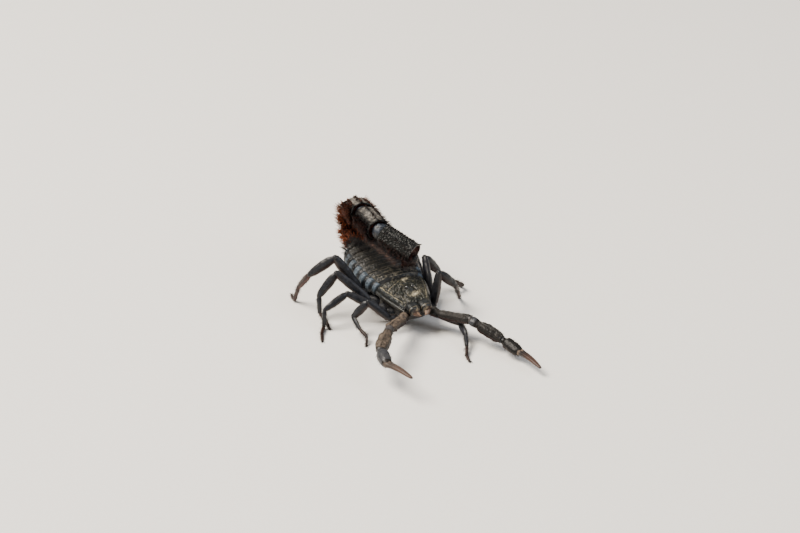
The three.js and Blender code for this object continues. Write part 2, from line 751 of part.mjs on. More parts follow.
function tail() {
  const links = tailLinks();
  links.forEach((link, i) => {
    const next = links[i + 1];
    let body = tailBarrel(links, i);
    if (i > 0) {
      body = body.add(frontBall(links, i));
    }
    if (!next) {
      body = body.add(endTeeth(link)).subtract(ball(link.end.clone().addScaledVector(link.along, 1.4), 2.4));
    }
    const size = (at) => barrelSize(i, at).map((radius) => radius * 0.97);
    body = body.add(bristles(
      link,
      links[i - 1] ?? TRUNK_END,
      next,
      BRISTLES.counts[i],
      BRISTLES.lengths[i],
      size,
    ));
    body = body.subtract(next ? frontBall(links, i + 1, GAP) : telson(link, GAP));
    addPart(`metasoma_${i + 1}`, body, BLACK_PLATE);
  });
  return links;
}

// The venom bulb and the sting, bent back under the last barrel of the tail, grown by a margin where
// it is used to cut the barrel clear.
function telson(last, margin = 0) {
  const root = last.end.clone().addScaledVector(last.along, 0.8).addScaledVector(last.up, -STING.drop);
  const bulb = chain(root, 1, [STING.bulb], [STING.turn - 90], [STING.pitch])[0];
  let body = limb([bulb], [
    { at: 0, wide: 1.1 + margin, tall: 1.1 + margin },
    { at: 0.15, wide: 1.8 + margin, tall: 1.7 + margin },
    { at: 0.45, wide: STING.half + margin, tall: STING.tall + margin },
    { at: 0.75, wide: STING.half * 0.85 + margin, tall: STING.tall * 0.85 + margin },
    { at: 1, wide: 0.85 + margin, tall: 0.85 + margin, lift: -0.1 },
  ], { sides: 12 });
  const steps = 6;
  const spur = [{
    at: bulb.end.clone().addScaledVector(bulb.along, -0.8),
    ...heading(STING.turn - 90, STING.pitch, 1),
  }];
  for (let i = 1; i <= steps; i += 1) {
    const way = heading(STING.turn - 90, STING.pitch + (STING.curl * i) / steps, 1);
    spur.push({ at: spur[i - 1].at.clone().addScaledVector(way.along, (STING.spur + 0.8) / steps), ...way });
  }
  body = body.add(loft(steps + 1, 8, (ring, angle) => {
    const { at, along, up } = spur[ring];
    const across = new THREE.Vector3().crossVectors(along, up);
    const radius = 0.95 * (1 - ring / steps) + 0.1;
    return at.clone()
      .addScaledVector(across, Math.cos(angle) * radius)
      .addScaledVector(up, Math.sin(angle) * radius);
  }));
  return body;
}

// ---- Assembly ----

const eyes = [1, -1].map((side) => ball(eyeCentre(side), EYE_RADIUS, 8));
const eyeSockets = [1, -1].map((side) => ball(eyeCentre(side), EYE_RADIUS + 0.2, 8));
addPart('carapace', carapace().subtract(eyeSockets[0]).subtract(eyeSockets[1]), BACK_PLATE);
addPart('median_eye_left', eyes[0], EYE_GLOSS);
addPart('median_eye_right', eyes[1], EYE_GLOSS);
addPart('prosoma_underside', underside(), BELLY_SKIN);
const trunkRoom = LEGS.filter((spec) => spec.size > 2)
  .reduce((room, spec) => room.add(thigh(spec, GAP)), underside(GAP));
addPart('mesosoma', mesosoma().subtract(trunkRoom), BACK_PLATE);
addPart('chelicera_left', chelicera(1), BELLY_SKIN);
addPart('chelicera_right', chelicera(-1), BELLY_SKIN);
addPart('pecten_left', pecten(1), BELLY_SKIN);
addPart('pecten_right', pecten(-1), BELLY_SKIN);
ARMS.forEach(pedipalp);
LEGS.forEach(leg);
const tailEnd = tail()[4];
addPart('telson', telson(tailEnd), FINGER_SHELL);

// The origin is on the floor under the middle of the whole animal.
const extent = new THREE.Box3().setFromObject(scorpion, true);
const middle = extent.getCenter(new THREE.Vector3());
scorpion.position.set(-middle.x, -middle.y, 0);

const model = new THREE.Group();
model.add(scorpion);

export default model;
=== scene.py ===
"""A thick-tailed scorpion at life size, walking with its tail curled forward over its back.

Sizes are millimetres in the animal's own frame: the origin is on the floor below the middle of the
carapace's front margin, the head points along -Y, the left side is +X and +Z is up.  Every mesh is
written in metres at the place of the CAD nodes that it stands for.

A skin is a grid of points, rows by columns by three.  Values that run along it are columns of
shape (rows, 1) and values that run round it are plain arrays, so that they spread over each other.
"""

import logging
import math
from dataclasses import dataclass, field
from enum import Enum
from typing import Callable, Optional, Sequence

import bpy
import numpy as np
from mathutils import Matrix, Vector


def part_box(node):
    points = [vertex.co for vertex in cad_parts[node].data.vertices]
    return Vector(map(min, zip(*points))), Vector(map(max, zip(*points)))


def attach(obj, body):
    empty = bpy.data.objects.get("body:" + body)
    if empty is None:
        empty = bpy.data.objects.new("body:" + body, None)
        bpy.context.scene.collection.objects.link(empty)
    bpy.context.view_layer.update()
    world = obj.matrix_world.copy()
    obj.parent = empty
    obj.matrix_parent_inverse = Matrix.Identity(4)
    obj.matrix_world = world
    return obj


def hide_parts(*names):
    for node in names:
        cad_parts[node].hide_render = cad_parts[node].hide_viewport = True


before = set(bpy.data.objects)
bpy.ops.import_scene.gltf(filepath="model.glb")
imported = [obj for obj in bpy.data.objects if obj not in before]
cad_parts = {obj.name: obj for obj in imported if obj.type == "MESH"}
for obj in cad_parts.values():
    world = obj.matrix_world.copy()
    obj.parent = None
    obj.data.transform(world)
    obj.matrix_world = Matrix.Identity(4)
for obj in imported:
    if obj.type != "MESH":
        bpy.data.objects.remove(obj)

Array = np.ndarray
Marks = dict[str, Array]
Rings = Sequence[tuple[float, float, float]]
Path = Sequence[tuple[float, float]]
Weight = Callable[[Array, Array], Array]
Piece = bpy.types.Object
Socket = bpy.types.NodeSocket

LOG = logging.getLogger("scorpion")
MARKS = ("Edge", "Dust", "Bare", "Red")
MM = 0.001
TURN = 2 * np.pi
BODY = "root"
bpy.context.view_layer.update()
SIDES = {"left": 1, "right": -1}

# ---- The animal's named sizes, in millimetres ----

HEAD_LENGTH = 13.9
HEAD_HALF = (4.9, 9.1)  # half width at the front and rear margins
HEAD_TOP = (10.6, 13.3)  # heights of the crest and, below, of the side margins
HEAD_EDGE = (8.2, 9.6)
HEAD_NOTCH = 0.7  # depth of the hollow in the front margin
OCULAR = np.array([0.6, 7.0, 12.7])  # the tubercle that carries the median eyes
EYE_OFFSET = np.array([0.0, -0.25, 0.5])  # from the tubercle to the middle of the two eyes
EYE_APART = 0.98
EYE_RADIUS = 0.75

TERGITES = (2.6, 3.3, 3.8, 4.2, 4.4, 4.4, 4.4)
STERNITES = 5
LIP = 0.5  # how far a back plate's rear edge stands proud
TRUNK_HALF = (8.9, 10.0, 10.9, 11.3, 11.1, 10.4, 9.1, 6.5)
TRUNK_TOP = (13.2, 13.9, 14.6, 15.3, 15.8, 16.1, 16.1, 15.4)
TRUNK_MIDDLE = (9.6, 10.0, 10.3, 10.6, 10.9, 11.1, 11.4, 12.0)
TRUNK_BELLY = (7.0, 6.4, 5.4, 5.2, 5.6, 6.3, 7.3, 8.8)
BOW = 1.0  # how far the middle of the body bends to the left
GAP = 0.3

TAIL_ROOT = (0.0, 42.3, 11.9)
# length, half width, half height, turn and pitch of each barrel
TAIL = (
    (8.8, 3.7, 3.4, 0, 140),
    (9.7, 3.75, 3.4, -2, 75),
    (10.6, 3.7, 3.4, -10, 9),
    (12.2, 3.6, 3.4, -1, -6),
    (15.5, 3.35, 3.3, 28, -18.5),
)
TAIL_BALL = 2.6
LAST_BALL = 2.95
STING_TURN = 28
STING_PITCH = -150
STING_DROP = 1.5
STING_CURL = 74
STING_REACH = 4.4

# lengths of the six joints, girth and hip of each pair of legs
LEG_SIZES = {
    1: ((2.8, 9.8, 7.7, 5.0, 4.1, 3.4), 0.94, (5.6, 3.0, 4.9)),
    2: ((3.0, 11.8, 9.2, 5.8, 4.9, 3.9), 1.0, (7.0, 7.6, 5.3)),
    3: ((3.4, 14.8, 10.0, 6.0, 5.0, 3.8), 1.06, (8.0, 11.9, 5.4)),
    4: ((3.8, 14.7, 10.8, 8.8, 7.6, 4.9), 1.14, (8.6, 18.0, 6.1)),
}
# turns of the six joints and pitches of the first five, in degrees
LEG_POSES = {
    "right_leg_1": ((8, 24, 30, -92, -98, -60), (2, 43, -50, -28, -14)),
    "right_leg_2": ((37, 37, 1, -37, -56, -68), (18, 24, -27, -80, -4)),
    "right_leg_3": ((38, 44, 16, -76, -88, -86), (32, 37, -53, -80, -7)),
    "right_leg_4": ((46, 31, 29, 75, 89, 103), (38, 55, -37, -49, -62)),
    "left_leg_1": ((-59, -62, -105, -116, -119, -101), (-5, -4, -2.6, -19, -18)),
    "left_leg_2": ((-38, -12, 5, 49, 53, 55), (-6, 82, -45, -42, -50)),
    "left_leg_3": ((-22, 74, 9, -60, 10, 80), (-5, 39, -50, -18, -34)),
    "left_leg_4": ((6, 78, 81, 75, 72, 71), (29, 21, -16, -47, -18)),
}
FOOT_HEIGHT = 0.05

ARM_LENGTHS = (3.9, 12.2, 12.9, 8.7, 11.9)
ARM_ROOT = (4.7, 0.5, 6.7)
ARM_POSES = {
    "right": ((-55, -42, -49, -78, -103), (10, 12, -3, -5, 1)),
    "left": ((-62, -62, -63, -78, -87), (-9, 7.4, -15, -8, 0)),
}
# Pale colour on each arm's outer side, far more on the right arm than on the left.
ARM_DUST = {"right": 0.85, "left": 0.06}


def centre_of(node: str) -> Array:
    """The middle of a CAD node's box, in millimetres of the CAD frame."""
    low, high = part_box(node)
    return np.array((low + high) / 2) / MM


# How far the CAD frame lies from the animal's own, read from the two eyes.
EYES = (centre_of("median_eye_left") + centre_of("median_eye_right")) / 2
SHIFT = EYES - (OCULAR + EYE_OFFSET)


# ---- Small maths ----


def unit(vectors: Array) -> Array:
    """The vectors at length one."""
    return vectors / np.maximum(np.linalg.norm(vectors, axis=-1, keepdims=True), 1e-6)


def smooth(value: Array, low: float, high: float) -> Array:
    """A soft step from 0 at low to 1 at high."""
    t = np.clip((np.asarray(value, float) - low) / (high - low), 0.0, 1.0)
    return t * t * (3 - 2 * t)


def bell(away: Array, width: float) -> Array:
    """A soft ridge, 1 where away is 0 and near 0 beyond two widths."""
    return np.exp(-((away / width) ** 2))


def power(value: Array, exponent: float) -> Array:
    """A power that keeps the sign of its base."""
    return np.sign(value) * np.abs(value) ** exponent


def down(*parts: Array | Sequence[float]) -> Array:
    """The parts end to end, as one column."""
    return np.concatenate(parts)[:, None]


def spread(*parts: Array) -> Array:
    """Points from their x, y and z, each spread to the same grid."""
    return np.stack(np.broadcast_arrays(*parts), axis=-1)


def scaled(vector: Array, share: Array) -> Array:
    """A vector, or a grid of them, times a share at each point."""
    return np.asarray(share)[..., None] * vector


def towards(heart: Array, points: Array, share: Array) -> Array:
    """Points drawn in to the heart of their row, where the share is under 1."""
    return heart + scaled(points - heart, share)


def through(at: Array, places: Sequence[float], values: Sequence[float]) -> Array:
    """A smooth curve through values at rising places, with no overshoot.

    Args:
        at: where to read the curve.
        places: the rising places of the given values.
        values: the curve's value at each place.

    Returns:
        The curve's value at each entry of at.
    """
    x, y = np.asarray(places, float), np.asarray(values, float)
    slopes = np.diff(y) / np.diff(x)
    tangents = np.concatenate([[slopes[0]], np.zeros(len(x) - 2), [slopes[-1]]])
    for i, (before, after) in enumerate(zip(slopes[:-1], slopes[1:]), 1):
        if before * after > 0:
            tangents[i] = 2 * before * after / (before + after)
    at = np.clip(np.asarray(at, float), x[0], x[-1])
    k = np.clip(np.searchsorted(x, at, side="right") - 1, 0, len(x) - 2)
    width = x[k + 1] - x[k]
    t = (at - x[k]) / width
    return (
        y[k] * (1 + 2 * t) * (1 - t) ** 2
        + tangents[k] * width * t * (1 - t) ** 2
        + y[k + 1] * t * t * (3 - 2 * t)
        + tangents[k + 1] * width * t * t * (t - 1)
    )


def draw(cells: Array, salt: int) -> Array:
    """A steady value from 0 to 1 for each whole-number cell of a lattice.

    Args:
        cells: the cells, by their whole-number places.
        salt: picks other values.

    Returns:
        The value of each cell.
    """
    n = cells.astype(np.int64)
    h = n[..., 0] * 73856093 ^ n[..., 1] * 19349663 ^ n[..., 2] * 83492791
    h = (h ^ (salt * 97531 + 12345)) & 0x7FFFFFFF
    h = ((h ^ (h >> 13)) * 1274126177) & 0x7FFFFFFF
    h = ((h ^ (h >> 15)) * 668265263) & 0x7FFFFFFF
    return ((h ^ (h >> 12)) & 0xFFFF) / 65535.0


def mottle(points: Array, size: float, salt: int = 0) -> Array:
    """Smooth patches from 0 to 1 whose width is about size, at each point.

    Args:
        points: where to read them, in millimetres.
        size: a patch's usual width.
        salt: picks other patches.

    Returns:
        The value at each point.
    """
    place = points / size
    base = np.floor(place)
    t = smooth(place - base, 0, 1)
    total = np.zeros(points.shape[:-1])
    for corner in np.ndindex(2, 2, 2):
        weight = np.prod(np.where(np.array(corner) == 1, t, 1 - t), axis=-1)
        total += weight * draw(base + np.array(corner), salt)
    return total


def veins(points: Array, size: float, width: float, salt: int = 0) -> Array:
    """A net of thin crooked lines, 1 on a line falling to 0 beside it.

    Args:
        points: where to read the net, in millimetres.
        size: the usual distance between its lines.
        width: half the width of a line.
        salt: picks another net.

    Returns:
        The closeness of a line at each point.
    """
    return bell((mottle(points, size, salt) - 0.5) * size, width)


def grains(points: Array, size: float, salt: int = 0) -> Array:
    """Rounded grains, one to a cell of the given size and each of its own width.

    Args:
        points: where to read the grains, in millimetres.
        size: the spacing of the grains, in millimetres.
        salt: picks another scatter.

    Returns:
        The height of the grain at each point, from 0 to 1.
    """
    place = points / size
    base = np.floor(place)
    height = np.zeros(points.shape[:-1])
    for offset in np.ndindex(3, 3, 3):
        cell = base + np.array(offset) - 1
        middle = cell + 0.5
        for axis in range(3):
            middle[..., axis] += 0.7 * (draw(cell, salt * 7 + axis) - 0.5)
        reach = 0.3 + 0.35 * draw(cell, salt * 7 + 3)
        away = np.linalg.norm(place - middle, axis=-1) / reach
        height = np.maximum(height, reach / 0.65 * np.clip(1 - away**2, 0, None))
    return height


def near_path(x: Array, y: Array, path: Path) -> Array:
    """The distance of each place to a path of straight runs, in the plane.

    Args:
        x: the places' first coordinate.
        y: their second coordinate.
        path: the corners of the path.

    Returns:
        The distance of each place.
    """
    best = np.full(np.shape(x), 1e9)
    for (ax, ay), (bx, by) in zip(path[:-1], path[1:]):
        dx, dy = bx - ax, by - ay
        t = np.clip(((x - ax) * dx + (y - ay) * dy) / (dx * dx + dy * dy), 0, 1)
        best = np.minimum(best, np.hypot(x - ax - t * dx, y - ay - t * dy))
    return best


def off_keel(angle: Array, keels: int, first: float = 0.0) -> Array:
    """The angle from the nearest of some evenly spaced keels, the first one at a given angle."""
    turn = TURN / keels
    return np.mod(angle - first + turn / 2, turn) - turn / 2


def facets(away: Array, keels: int) -> Array:
    """The reach of a flat-sided outline, 1 on a keel, from the angle off the nearest keel."""
    half = np.pi / keels
    return math.cos(half) / np.cos(half - np.abs(away))


# ---- Chains of links ----


@dataclass(frozen=True)
class Link:
    """One straight length of a limb, with its outer side as up."""

    start: Array
    end: Array
    along: Array
    up: Array

    @property
    def length(self) -> float:
        """The distance from start to end."""
        return float(np.linalg.norm(self.end - self.start))

    @property
    def across(self) -> Array:
        """The direction across the link, level with its outer side."""
        return np.cross(self.along, self.up)

    def around(self, angle: Array, wide: Array, tall: Array) -> Array:
        """Points of an ellipse round the link, from its across direction to its outer side."""
        return scaled(self.across, np.cos(angle) * wide) + scaled(self.up, np.sin(angle) * tall)

    def axis(self, at: Array) -> Array:
        """The link's middle line at shares along it."""
        return self.start + scaled(self.along, at * self.length)


def heading(turn: float, pitch: float, side: int) -> tuple[Array, Array]:
    """The direction of a link and of its outer side, from its turn and pitch in degrees.

    Args:
        turn: from straight out to the side, towards the rear.
        pitch: above level.
        side: 1 for the animal's left, -1 for its right.

    Returns:
        Both directions.
    """
    t, p = math.radians(turn), math.radians(pitch)
    level = np.array([side * math.cos(t), math.sin(t), 0.0])
    rise = np.array([0.0, 0.0, 1.0])
    return level * math.cos(p) + rise * math.sin(p), rise * math.cos(p) - level * math.sin(p)


def chain(
    root: Sequence[float], side: int, lengths: Sequence[float], turns: Sequence[float],
    pitches: Sequence[float],
) -> list[Link]:
    """Links end to end from a root.

    Args:
        root: where the first link starts.
        side: 1 for the animal's left, -1 for its right.
        lengths: the length of each link.
        turns: the turn of each link, in degrees.
        pitches: the pitch of each link, in degrees.

    Returns:
        The links in order.
    """
    links = []
    start = np.array(root, float)
    for length, turn, pitch in zip(lengths, turns, pitches):
        along, up = heading(turn, pitch, side)
        links.append(Link(start, start + along * length, along, up))
        start = links[-1].end
    return links


def straight(start: Sequence[float], end: Sequence[float]) -> Link:
    """A link between two points, with its outer side as near to upright as it can be.

    Args:
        start: its first point.
        end: its last point.

    Returns:
        The link.
    """
    first, last = np.array(start, float), np.array(end, float)
    along = unit(last - first)
    return Link(first, last, along, unit(np.array([0.0, 0.0, 1.0]) - along * along[2]))


# ---- Materials ----


def linear(code: str) -> tuple[float, float, float, float]:
    """Turns an sRGB colour to linear light.

    Args:
        code: the colour in hex, as #rrggbb.

    Returns:
        Its linear red, green and blue, and 1 for opaque.
    """
    parts = [int(code[i : i + 2], 16) / 255 for i in (1, 3, 5)]
    red, green, blue = (
        part / 12.92 if part <= 0.04045 else ((part + 0.055) / 1.055) ** 2.4 for part in parts
    )
    return red, green, blue, 1.0


@dataclass
class Recipe:
    """A material in the making, with its principled shader."""

    name: str

    def __post_init__(self) -> None:
        """Starts the material."""
        self.material = bpy.data.materials.new(self.name)
        self.material.use_nodes = True
        self.shader = self.material.node_tree.nodes["Principled BSDF"]

    def feed(self, node: bpy.types.Node, inputs: dict[str | int, object]) -> None:
        """Links sockets to a node's inputs, or sets numbers and sRGB hex colours on them.

        Args:
            node: the node that is fed.
            inputs: what goes to each input.
        """
        for name, value in inputs.items():
            if isinstance(value, Socket):
                self.material.node_tree.links.new(value, node.inputs[name])
            else:
                plain = linear(value) if isinstance(value, str) else value
                node.inputs[name].default_value = plain

    def node(
        self,
        kind: str,
        output: str | int,
        inputs: Optional[dict[str | int, object]] = None,
        **settings: object,
    ) -> Socket:
        """Adds a shader node.

        Args:
            kind: the node's type name.
            output: which of its outputs is wanted.
            inputs: a value or another node's output for each named input.
            settings: values of the node's own properties.

        Returns:
            The wanted output.
        """
        node = self.material.node_tree.nodes.new(kind)
        for name, value in settings.items():
            setattr(node, name, value)
        self.feed(node, inputs or {})
        return node.outputs[output]

    def finished(self, **inputs: object) -> bpy.types.Material:
        """The material, with its shader's inputs given by name with _ for a space."""
        self.feed(self.shader, {name.replace("_", " "): value for name, value in inputs.items()})
        return self.material


@dataclass(frozen=True)
class Cuticle:
    """A finish of the animal's shell: chitin, grown in plates, mottled and dusty.

    Attributes:
        name: the material's name.
        base: the shell's main colour.
        patch: the colour of its mottled patches.
        edge: the colour of keels and rims and of painted shade in creases, from the mesh's Edge
            mark.
        dust: the colour of dust in furrows and of painted highlights, from the mesh's Dust mark.
        bare: the colour of polished places, from the mesh's Bare mark.
        red: the colour of thin, red-brown places and of painted sand reflection, from the mesh's
            Red mark.
        below: the colour of faces that turn down, painted shade and light reflected from the sand.
        roughness: of the clean shell.
        coat: weight of the waxy film on top.
        grit: spacing of the fine grain, in millimetres.
        relief: depth of the fine grain, in millimetres.
        haze: share of thin dust over all of it.
        shine: strength of its reflections, 0.5 for smooth clean chitin.
    """

    name: str
    base: str
    patch: str
    edge: str
    dust: str = "#a3957a"
    bare: str = "#2c3440"
    red: str = "#4a211a"
    below: str = "#1d1413"
    roughness: float = 0.42
    coat: float = 0.05
    grit: float = 0.45
    relief: float = 0.02
    haze: float = 0.04
    shine: float = 0.25

    def build(self) -> bpy.types.Material:
        """Makes the material.

        Returns:
            The finished material.
        """
        recipe = Recipe(self.name)
        node = recipe.node
        place = node("ShaderNodeTexCoord", "Object")
        marks = {word: node("ShaderNodeAttribute", "Fac", attribute_name=word) for word in MARKS}
        # Clouds whose patches are this many millimetres wide, from blotches to speckle.
        blotch, wear, speckle, crumbs = (
            node("ShaderNodeTexNoise", "Fac", {
                "Vector": place, "Scale": 1 / (width * MM), "Detail": detail, "Roughness": 0.6,
            })
            for width, detail in ((1.3, 4.0), (0.7, 3.0), (0.4, 6.0), (0.7, 5.0))
        )
        grit = {"Vector": place, "Scale": 1 / (self.grit * MM)}
        cells = node("ShaderNodeTexVoronoi", "Distance", grit, feature="SMOOTH_F1")
        normal = node("ShaderNodeNewGeometry", "Normal")
        rise = node("ShaderNodeSeparateXYZ", "Z", {0: normal})
        upward = node("ShaderNodeMapRange", 0, {0: rise, 1: -0.2, 2: 0.9, 4: self.haze})
        colour = self.base
        # What each layer follows, the values where it starts and is full, its most, its colour.
        for source, low, high, most, tint in (
            (blotch, 0.42, 0.62, 1.0, self.patch),
            # Painted shade: the shell darkens between its grains, in the hollows of the grain bump.
            (cells, 0.3, 0.75, 0.8, self.edge),
            # Painted shade and reflected light: faces that turn down take the darker, redder below
            # colour.
            (rise, 0.1, -0.8, 1.0, self.below),
            (wear, 0.25, 0.5, marks["Red"], self.red),
            (marks["Bare"], 0.0, 1.0, 1.0, self.bare),
            (marks["Edge"], 0.1, 0.9, 1.0, self.edge),
            (speckle, 0.46, 0.66, upward, self.dust),
            (crumbs, 0.3, 0.6, marks["Dust"], self.dust),
        ):
            share = node("ShaderNodeMapRange", 0, {0: source, 1: low, 2: high, 4: most})
            layers = {0: share, 6: colour, 7: tint}
            colour = node("ShaderNodeMix", 2, layers, data_type="RGBA")
        # Where the Dust mark lies, on dust and on painted highlights alike, the shell is matt, and
        # where it is polished it shines.
        matt = node("ShaderNodeMapRange", 0, {0: share, 3: self.roughness, 4: 0.9})
        rough = {0: marks["Bare"], 2: matt, 3: 0.3}
        relief = {"Strength": 0.7, "Distance": self.relief * MM, "Height": cells}
        return recipe.finished(
            Base_Color=colour,
            Roughness=node("ShaderNodeMix", 0, rough, data_type="FLOAT"),
            Normal=node("ShaderNodeBump", "Normal", relief, invert=True),
            IOR=1.56,
            Specular_IOR_Level=self.shine,
            Coat_Weight=self.coat,
            Coat_Roughness=0.25,
        )


@dataclass(frozen=True)
class Hair:
    """A finish of the bristles: hollow hairs of chitin, dark at the root and redder at the tip, the
    tip's brightness partly painted backlight.
    """

    name: str
    root: str
    tip: str

    def build(self) -> bpy.types.Material:
        """Makes the material.

        Returns:
            The finished material.
        """
        recipe = Recipe(self.name)
        colour = self.root
        # The tip's colour comes in along the bristle, and the root's returns on dark bristles.
        for word, low, high, most, tint in (
            ("Reach", 0.1, 0.85, 1.0, self.tip), ("Shade", 0.0, 1.0, 0.9, self.root)
        ):
            mark_of = recipe.node("ShaderNodeAttribute", "Fac", attribute_name=word)
            share = recipe.node("ShaderNodeMapRange", 0, {0: mark_of, 1: low, 2: high, 4: most})
            layers = {0: share, 6: colour, 7: tint}
            colour = recipe.node("ShaderNodeMix", 2, layers, data_type="RGBA")
        return recipe.finished(Base_Color=colour, Roughness=0.45, Specular_IOR_Level=0.3)


@dataclass(frozen=True)
class Cloudy:
    """A finish of two near colours in soft clouds.

    Attributes:
        name: the material's name.
        first: one colour.
        second: the other colour.
        width: width of the clouds, in millimetres.
        roughness: of the surface.
        coat: weight of the clear film on top.
    """

    name: str
    first: str
    second: str
    width: float
    roughness: float
    coat: float = 0.0

    def build(self) -> bpy.types.Material:
        """Makes the material.

        Returns:
            The finished material.
        """
        recipe = Recipe(self.name)
        place = recipe.node("ShaderNodeTexCoord", "Object")
        size = {"Vector": place, "Scale": 1 / (self.width * MM)}
        clouds = recipe.node("ShaderNodeTexNoise", "Fac", size)
        tones = {0: clouds, 6: self.first, 7: self.second}
        colour = recipe.node("ShaderNodeMix", 2, tones, data_type="RGBA")
        return recipe.finished(
            Base_Color=colour, Roughness=self.roughness, Coat_Weight=self.coat, Coat_Roughness=0.03
        )


class Finish(Enum):
    """The finishes that the pieces are dressed in."""

    # Dull granular chitin of the back, which scatters light off its grains and holds pale sand.
    BACK = Cuticle(
        "granular_back_chitin", "#101111", "#1b1c1c", "#030304", dust="#a8a08b", red="#8a6a5a",
        coat=0.0, haze=0.02, relief=0.12, shine=0.3,
    )
    # The head's chitin is coarser and greener, so its furrows stand out pale against it.
    HEAD = Cuticle(
        "granular_head_chitin", "#0d100d", "#1a1e19", "#030404", dust="#bcb195", bare="#242d36",
        roughness=0.4, coat=0.0, haze=0.015, relief=0.18, shine=0.27,
    )
    # Nearly black barrels whose flat facets are worn smooth and grey, the grey on their outer side
    # partly painted light.
    TAIL = Cuticle(
        "tail_chitin", "#0c0c0d", "#161616", "#030303", dust="#857f77", red="#3a160e",
        coat=0.0, haze=0.01, relief=0.14,
    )
    # The last barrel stays black: its close grains leave no flat place to catch the light, and only
    # their tops on the outer side carry small painted highlights.
    LAST = Cuticle(
        "last_barrel_chitin", "#070808", "#0f1110", "#020202", dust="#444a40", red="#33160f",
        roughness=0.38, coat=0.0, grit=0.62, haze=0.0, relief=0.26, shine=0.2,
    )
    # Smooth as polished stone and blue-grey, because it turns inside the joint.
    BALL = Cuticle(
        "polished_joint_chitin", "#1d222b", "#2b323e", "#050608", dust="#5d636d",
        roughness=0.4, coat=0.0, relief=0.04, shine=0.34,
    )
    # Smooth slate legs with a faint waxy sheen; the red-brown where they face the sand is painted
    # reflected light.
    LEG = Cuticle(
        "slate_leg_chitin", "#0e1119", "#171c26", "#050507", dust="#7d7770", red="#2b110d",
        below="#1c0d0b", grit=0.3, relief=0.03, shine=0.24,
    )
    # Feet and the last legs' shins in red-brown, which is painted light reflected from the red
    # sand.
    FOOT = Cuticle(
        "red_brown_foot_chitin", "#1f0f0c", "#2a1511", "#0c0605", dust="#7a5c4b", red="#4a241b",
        grit=0.3, relief=0.03, shine=0.24,
    )
    # Beaded arms, dull between the beads and grey where a joint has rubbed them bare.
    ARM = Cuticle(
        "granular_arm_chitin", "#0d0e0e", "#181818", "#030303", dust="#917f6e", bare="#35373b",
        roughness=0.45, coat=0.0, haze=0.02, relief=0.1, shine=0.2,
    )
    # Hard fingers, polished by use, brown towards their thin tips.
    FINGER = Cuticle(
        "polished_finger_chitin", "#141011", "#1e1716", "#0a0606", dust="#85715f", red="#3f281f",
        below="#1d100d", roughness=0.4, grit=0.3, shine=0.26,
    )
    # The venom bulb: dark, grainy and red-brown between the grains.
    BULB = Cuticle(
        "granular_bulb_chitin", "#180c0a", "#261310", "#050303", dust="#6b5348", red="#4a1e14",
        roughness=0.45, haze=0.03, relief=0.07,
    )
    # Soft folded skin between the plates, blue-grey with a moist sheen; painted highlight pales its
    # upward crests and painted shade darkens its creases.
    MEMBRANE = Cuticle(
        "folded_side_membrane", "#22292f", "#333b43", "#08090b", dust="#6b7c8c", below="#171a1f",
        roughness=0.4, coat=0.08, shine=0.3,
    )
    # Joints of the arms, worn paler and smoother than the shell beside them.
    KNUCKLE = Cuticle(
        "smooth_knuckle_chitin", "#393635", "#4b4644", "#0b0b0d", dust="#87888c", below="#171518",
        roughness=0.38, haze=0.06, shine=0.3,
    )
    # Belly plates, even and dull, as they lie in shade and drag over the sand.
    BELLY = Cuticle(
        "smooth_belly_chitin", "#161415", "#201e1f", "#070607", dust="#6d655d", below="#1b191a",
        roughness=0.46, relief=0.03, haze=0.05,
    )
    # Swollen jaws with the smoothest shell of the head, so they carry clear highlights.
    JAW = Cuticle(
        "smooth_jaw_chitin", "#15191b", "#23272a", "#020203", dust="#a3957a", red="#2c1612",
        below="#1d0f0d", roughness=0.38, coat=0.06, haze=0.03, shine=0.3,
    )
    # The jaws' fingers: thin, amber-brown and pale at their cutting edges.
    JAW_FINGER = Cuticle(
        "jaw_finger_chitin", "#24110e", "#311813", "#080404", dust="#b5a284", red="#8c705b",
        below="#1f0e0b", roughness=0.38, coat=0.1, haze=0.08, shine=0.3,
    )
    # Combs of thin pale chitin, the only light-coloured part of the underside.
    COMB = Cuticle(
        "pale_comb_chitin", "#5d5142", "#6b5d4a", "#2b241d", dust="#8f836a", below="#574c40",
        roughness=0.48, haze=0.08,
    )
    # The eye's clear cornea over black, smooth as glass under its wet film.
    EYE = Cloudy("eye_lens", "#030304", "#15100f", width=0.5, roughness=0.06, coat=0.6)
    # Bristles turn red-brown towards the tip, the less so the nearer they stand to the sting.
    # The bright tips are partly painted light, as if lit from behind and by the sand; the third
    # barrel's darker copy is painted shade.
    TAIL_HAIR = Hair("red_brown_bristle", "#0a0604", "#b8663f")
    MIDDLE_HAIR = Hair("dark_red_bristle", "#080504", "#73402b")
    LAST_HAIR = Hair("black_bristle", "#070505", "#3f1a0e")
    BODY_HAIR = Hair("dark_bristle", "#060505", "#1d1412")
    # Matt paper, which scatters the lamps evenly and shows only a faint cloud of its fibres.
    PAPER = Cloudy("matt_paper_floor", "#efece6", "#f4f2ed", width=1 / 0.9, roughness=0.9)


FINISHES: dict[Finish, bpy.types.Material] = {}


def finish_of(choice: Finish) -> bpy.types.Material:
    """The material of a finish, made the first time it is asked for.

    Args:
        choice: the finish.

    Returns:
        Its material.
    """
    if choice not in FINISHES:
        FINISHES[choice] = choice.value.build()
    return FINISHES[choice]


# ---- Meshes ----


def mark(mesh: bpy.types.Mesh, name: str, values: Optional[Array] = None) -> None:
    """Sets one mark of a mesh, which is added if it is new.

    Args:
        mesh: the mesh.
        name: the mark's name.
        values: its value at each corner, or nothing to leave them as they are.
    """
    layer = mesh.attributes.get(name) or mesh.attributes.new(name, "FLOAT", "POINT")
    if values is not None:
        layer.data.foreach_set("value", np.asarray(values, np.float32).ravel())


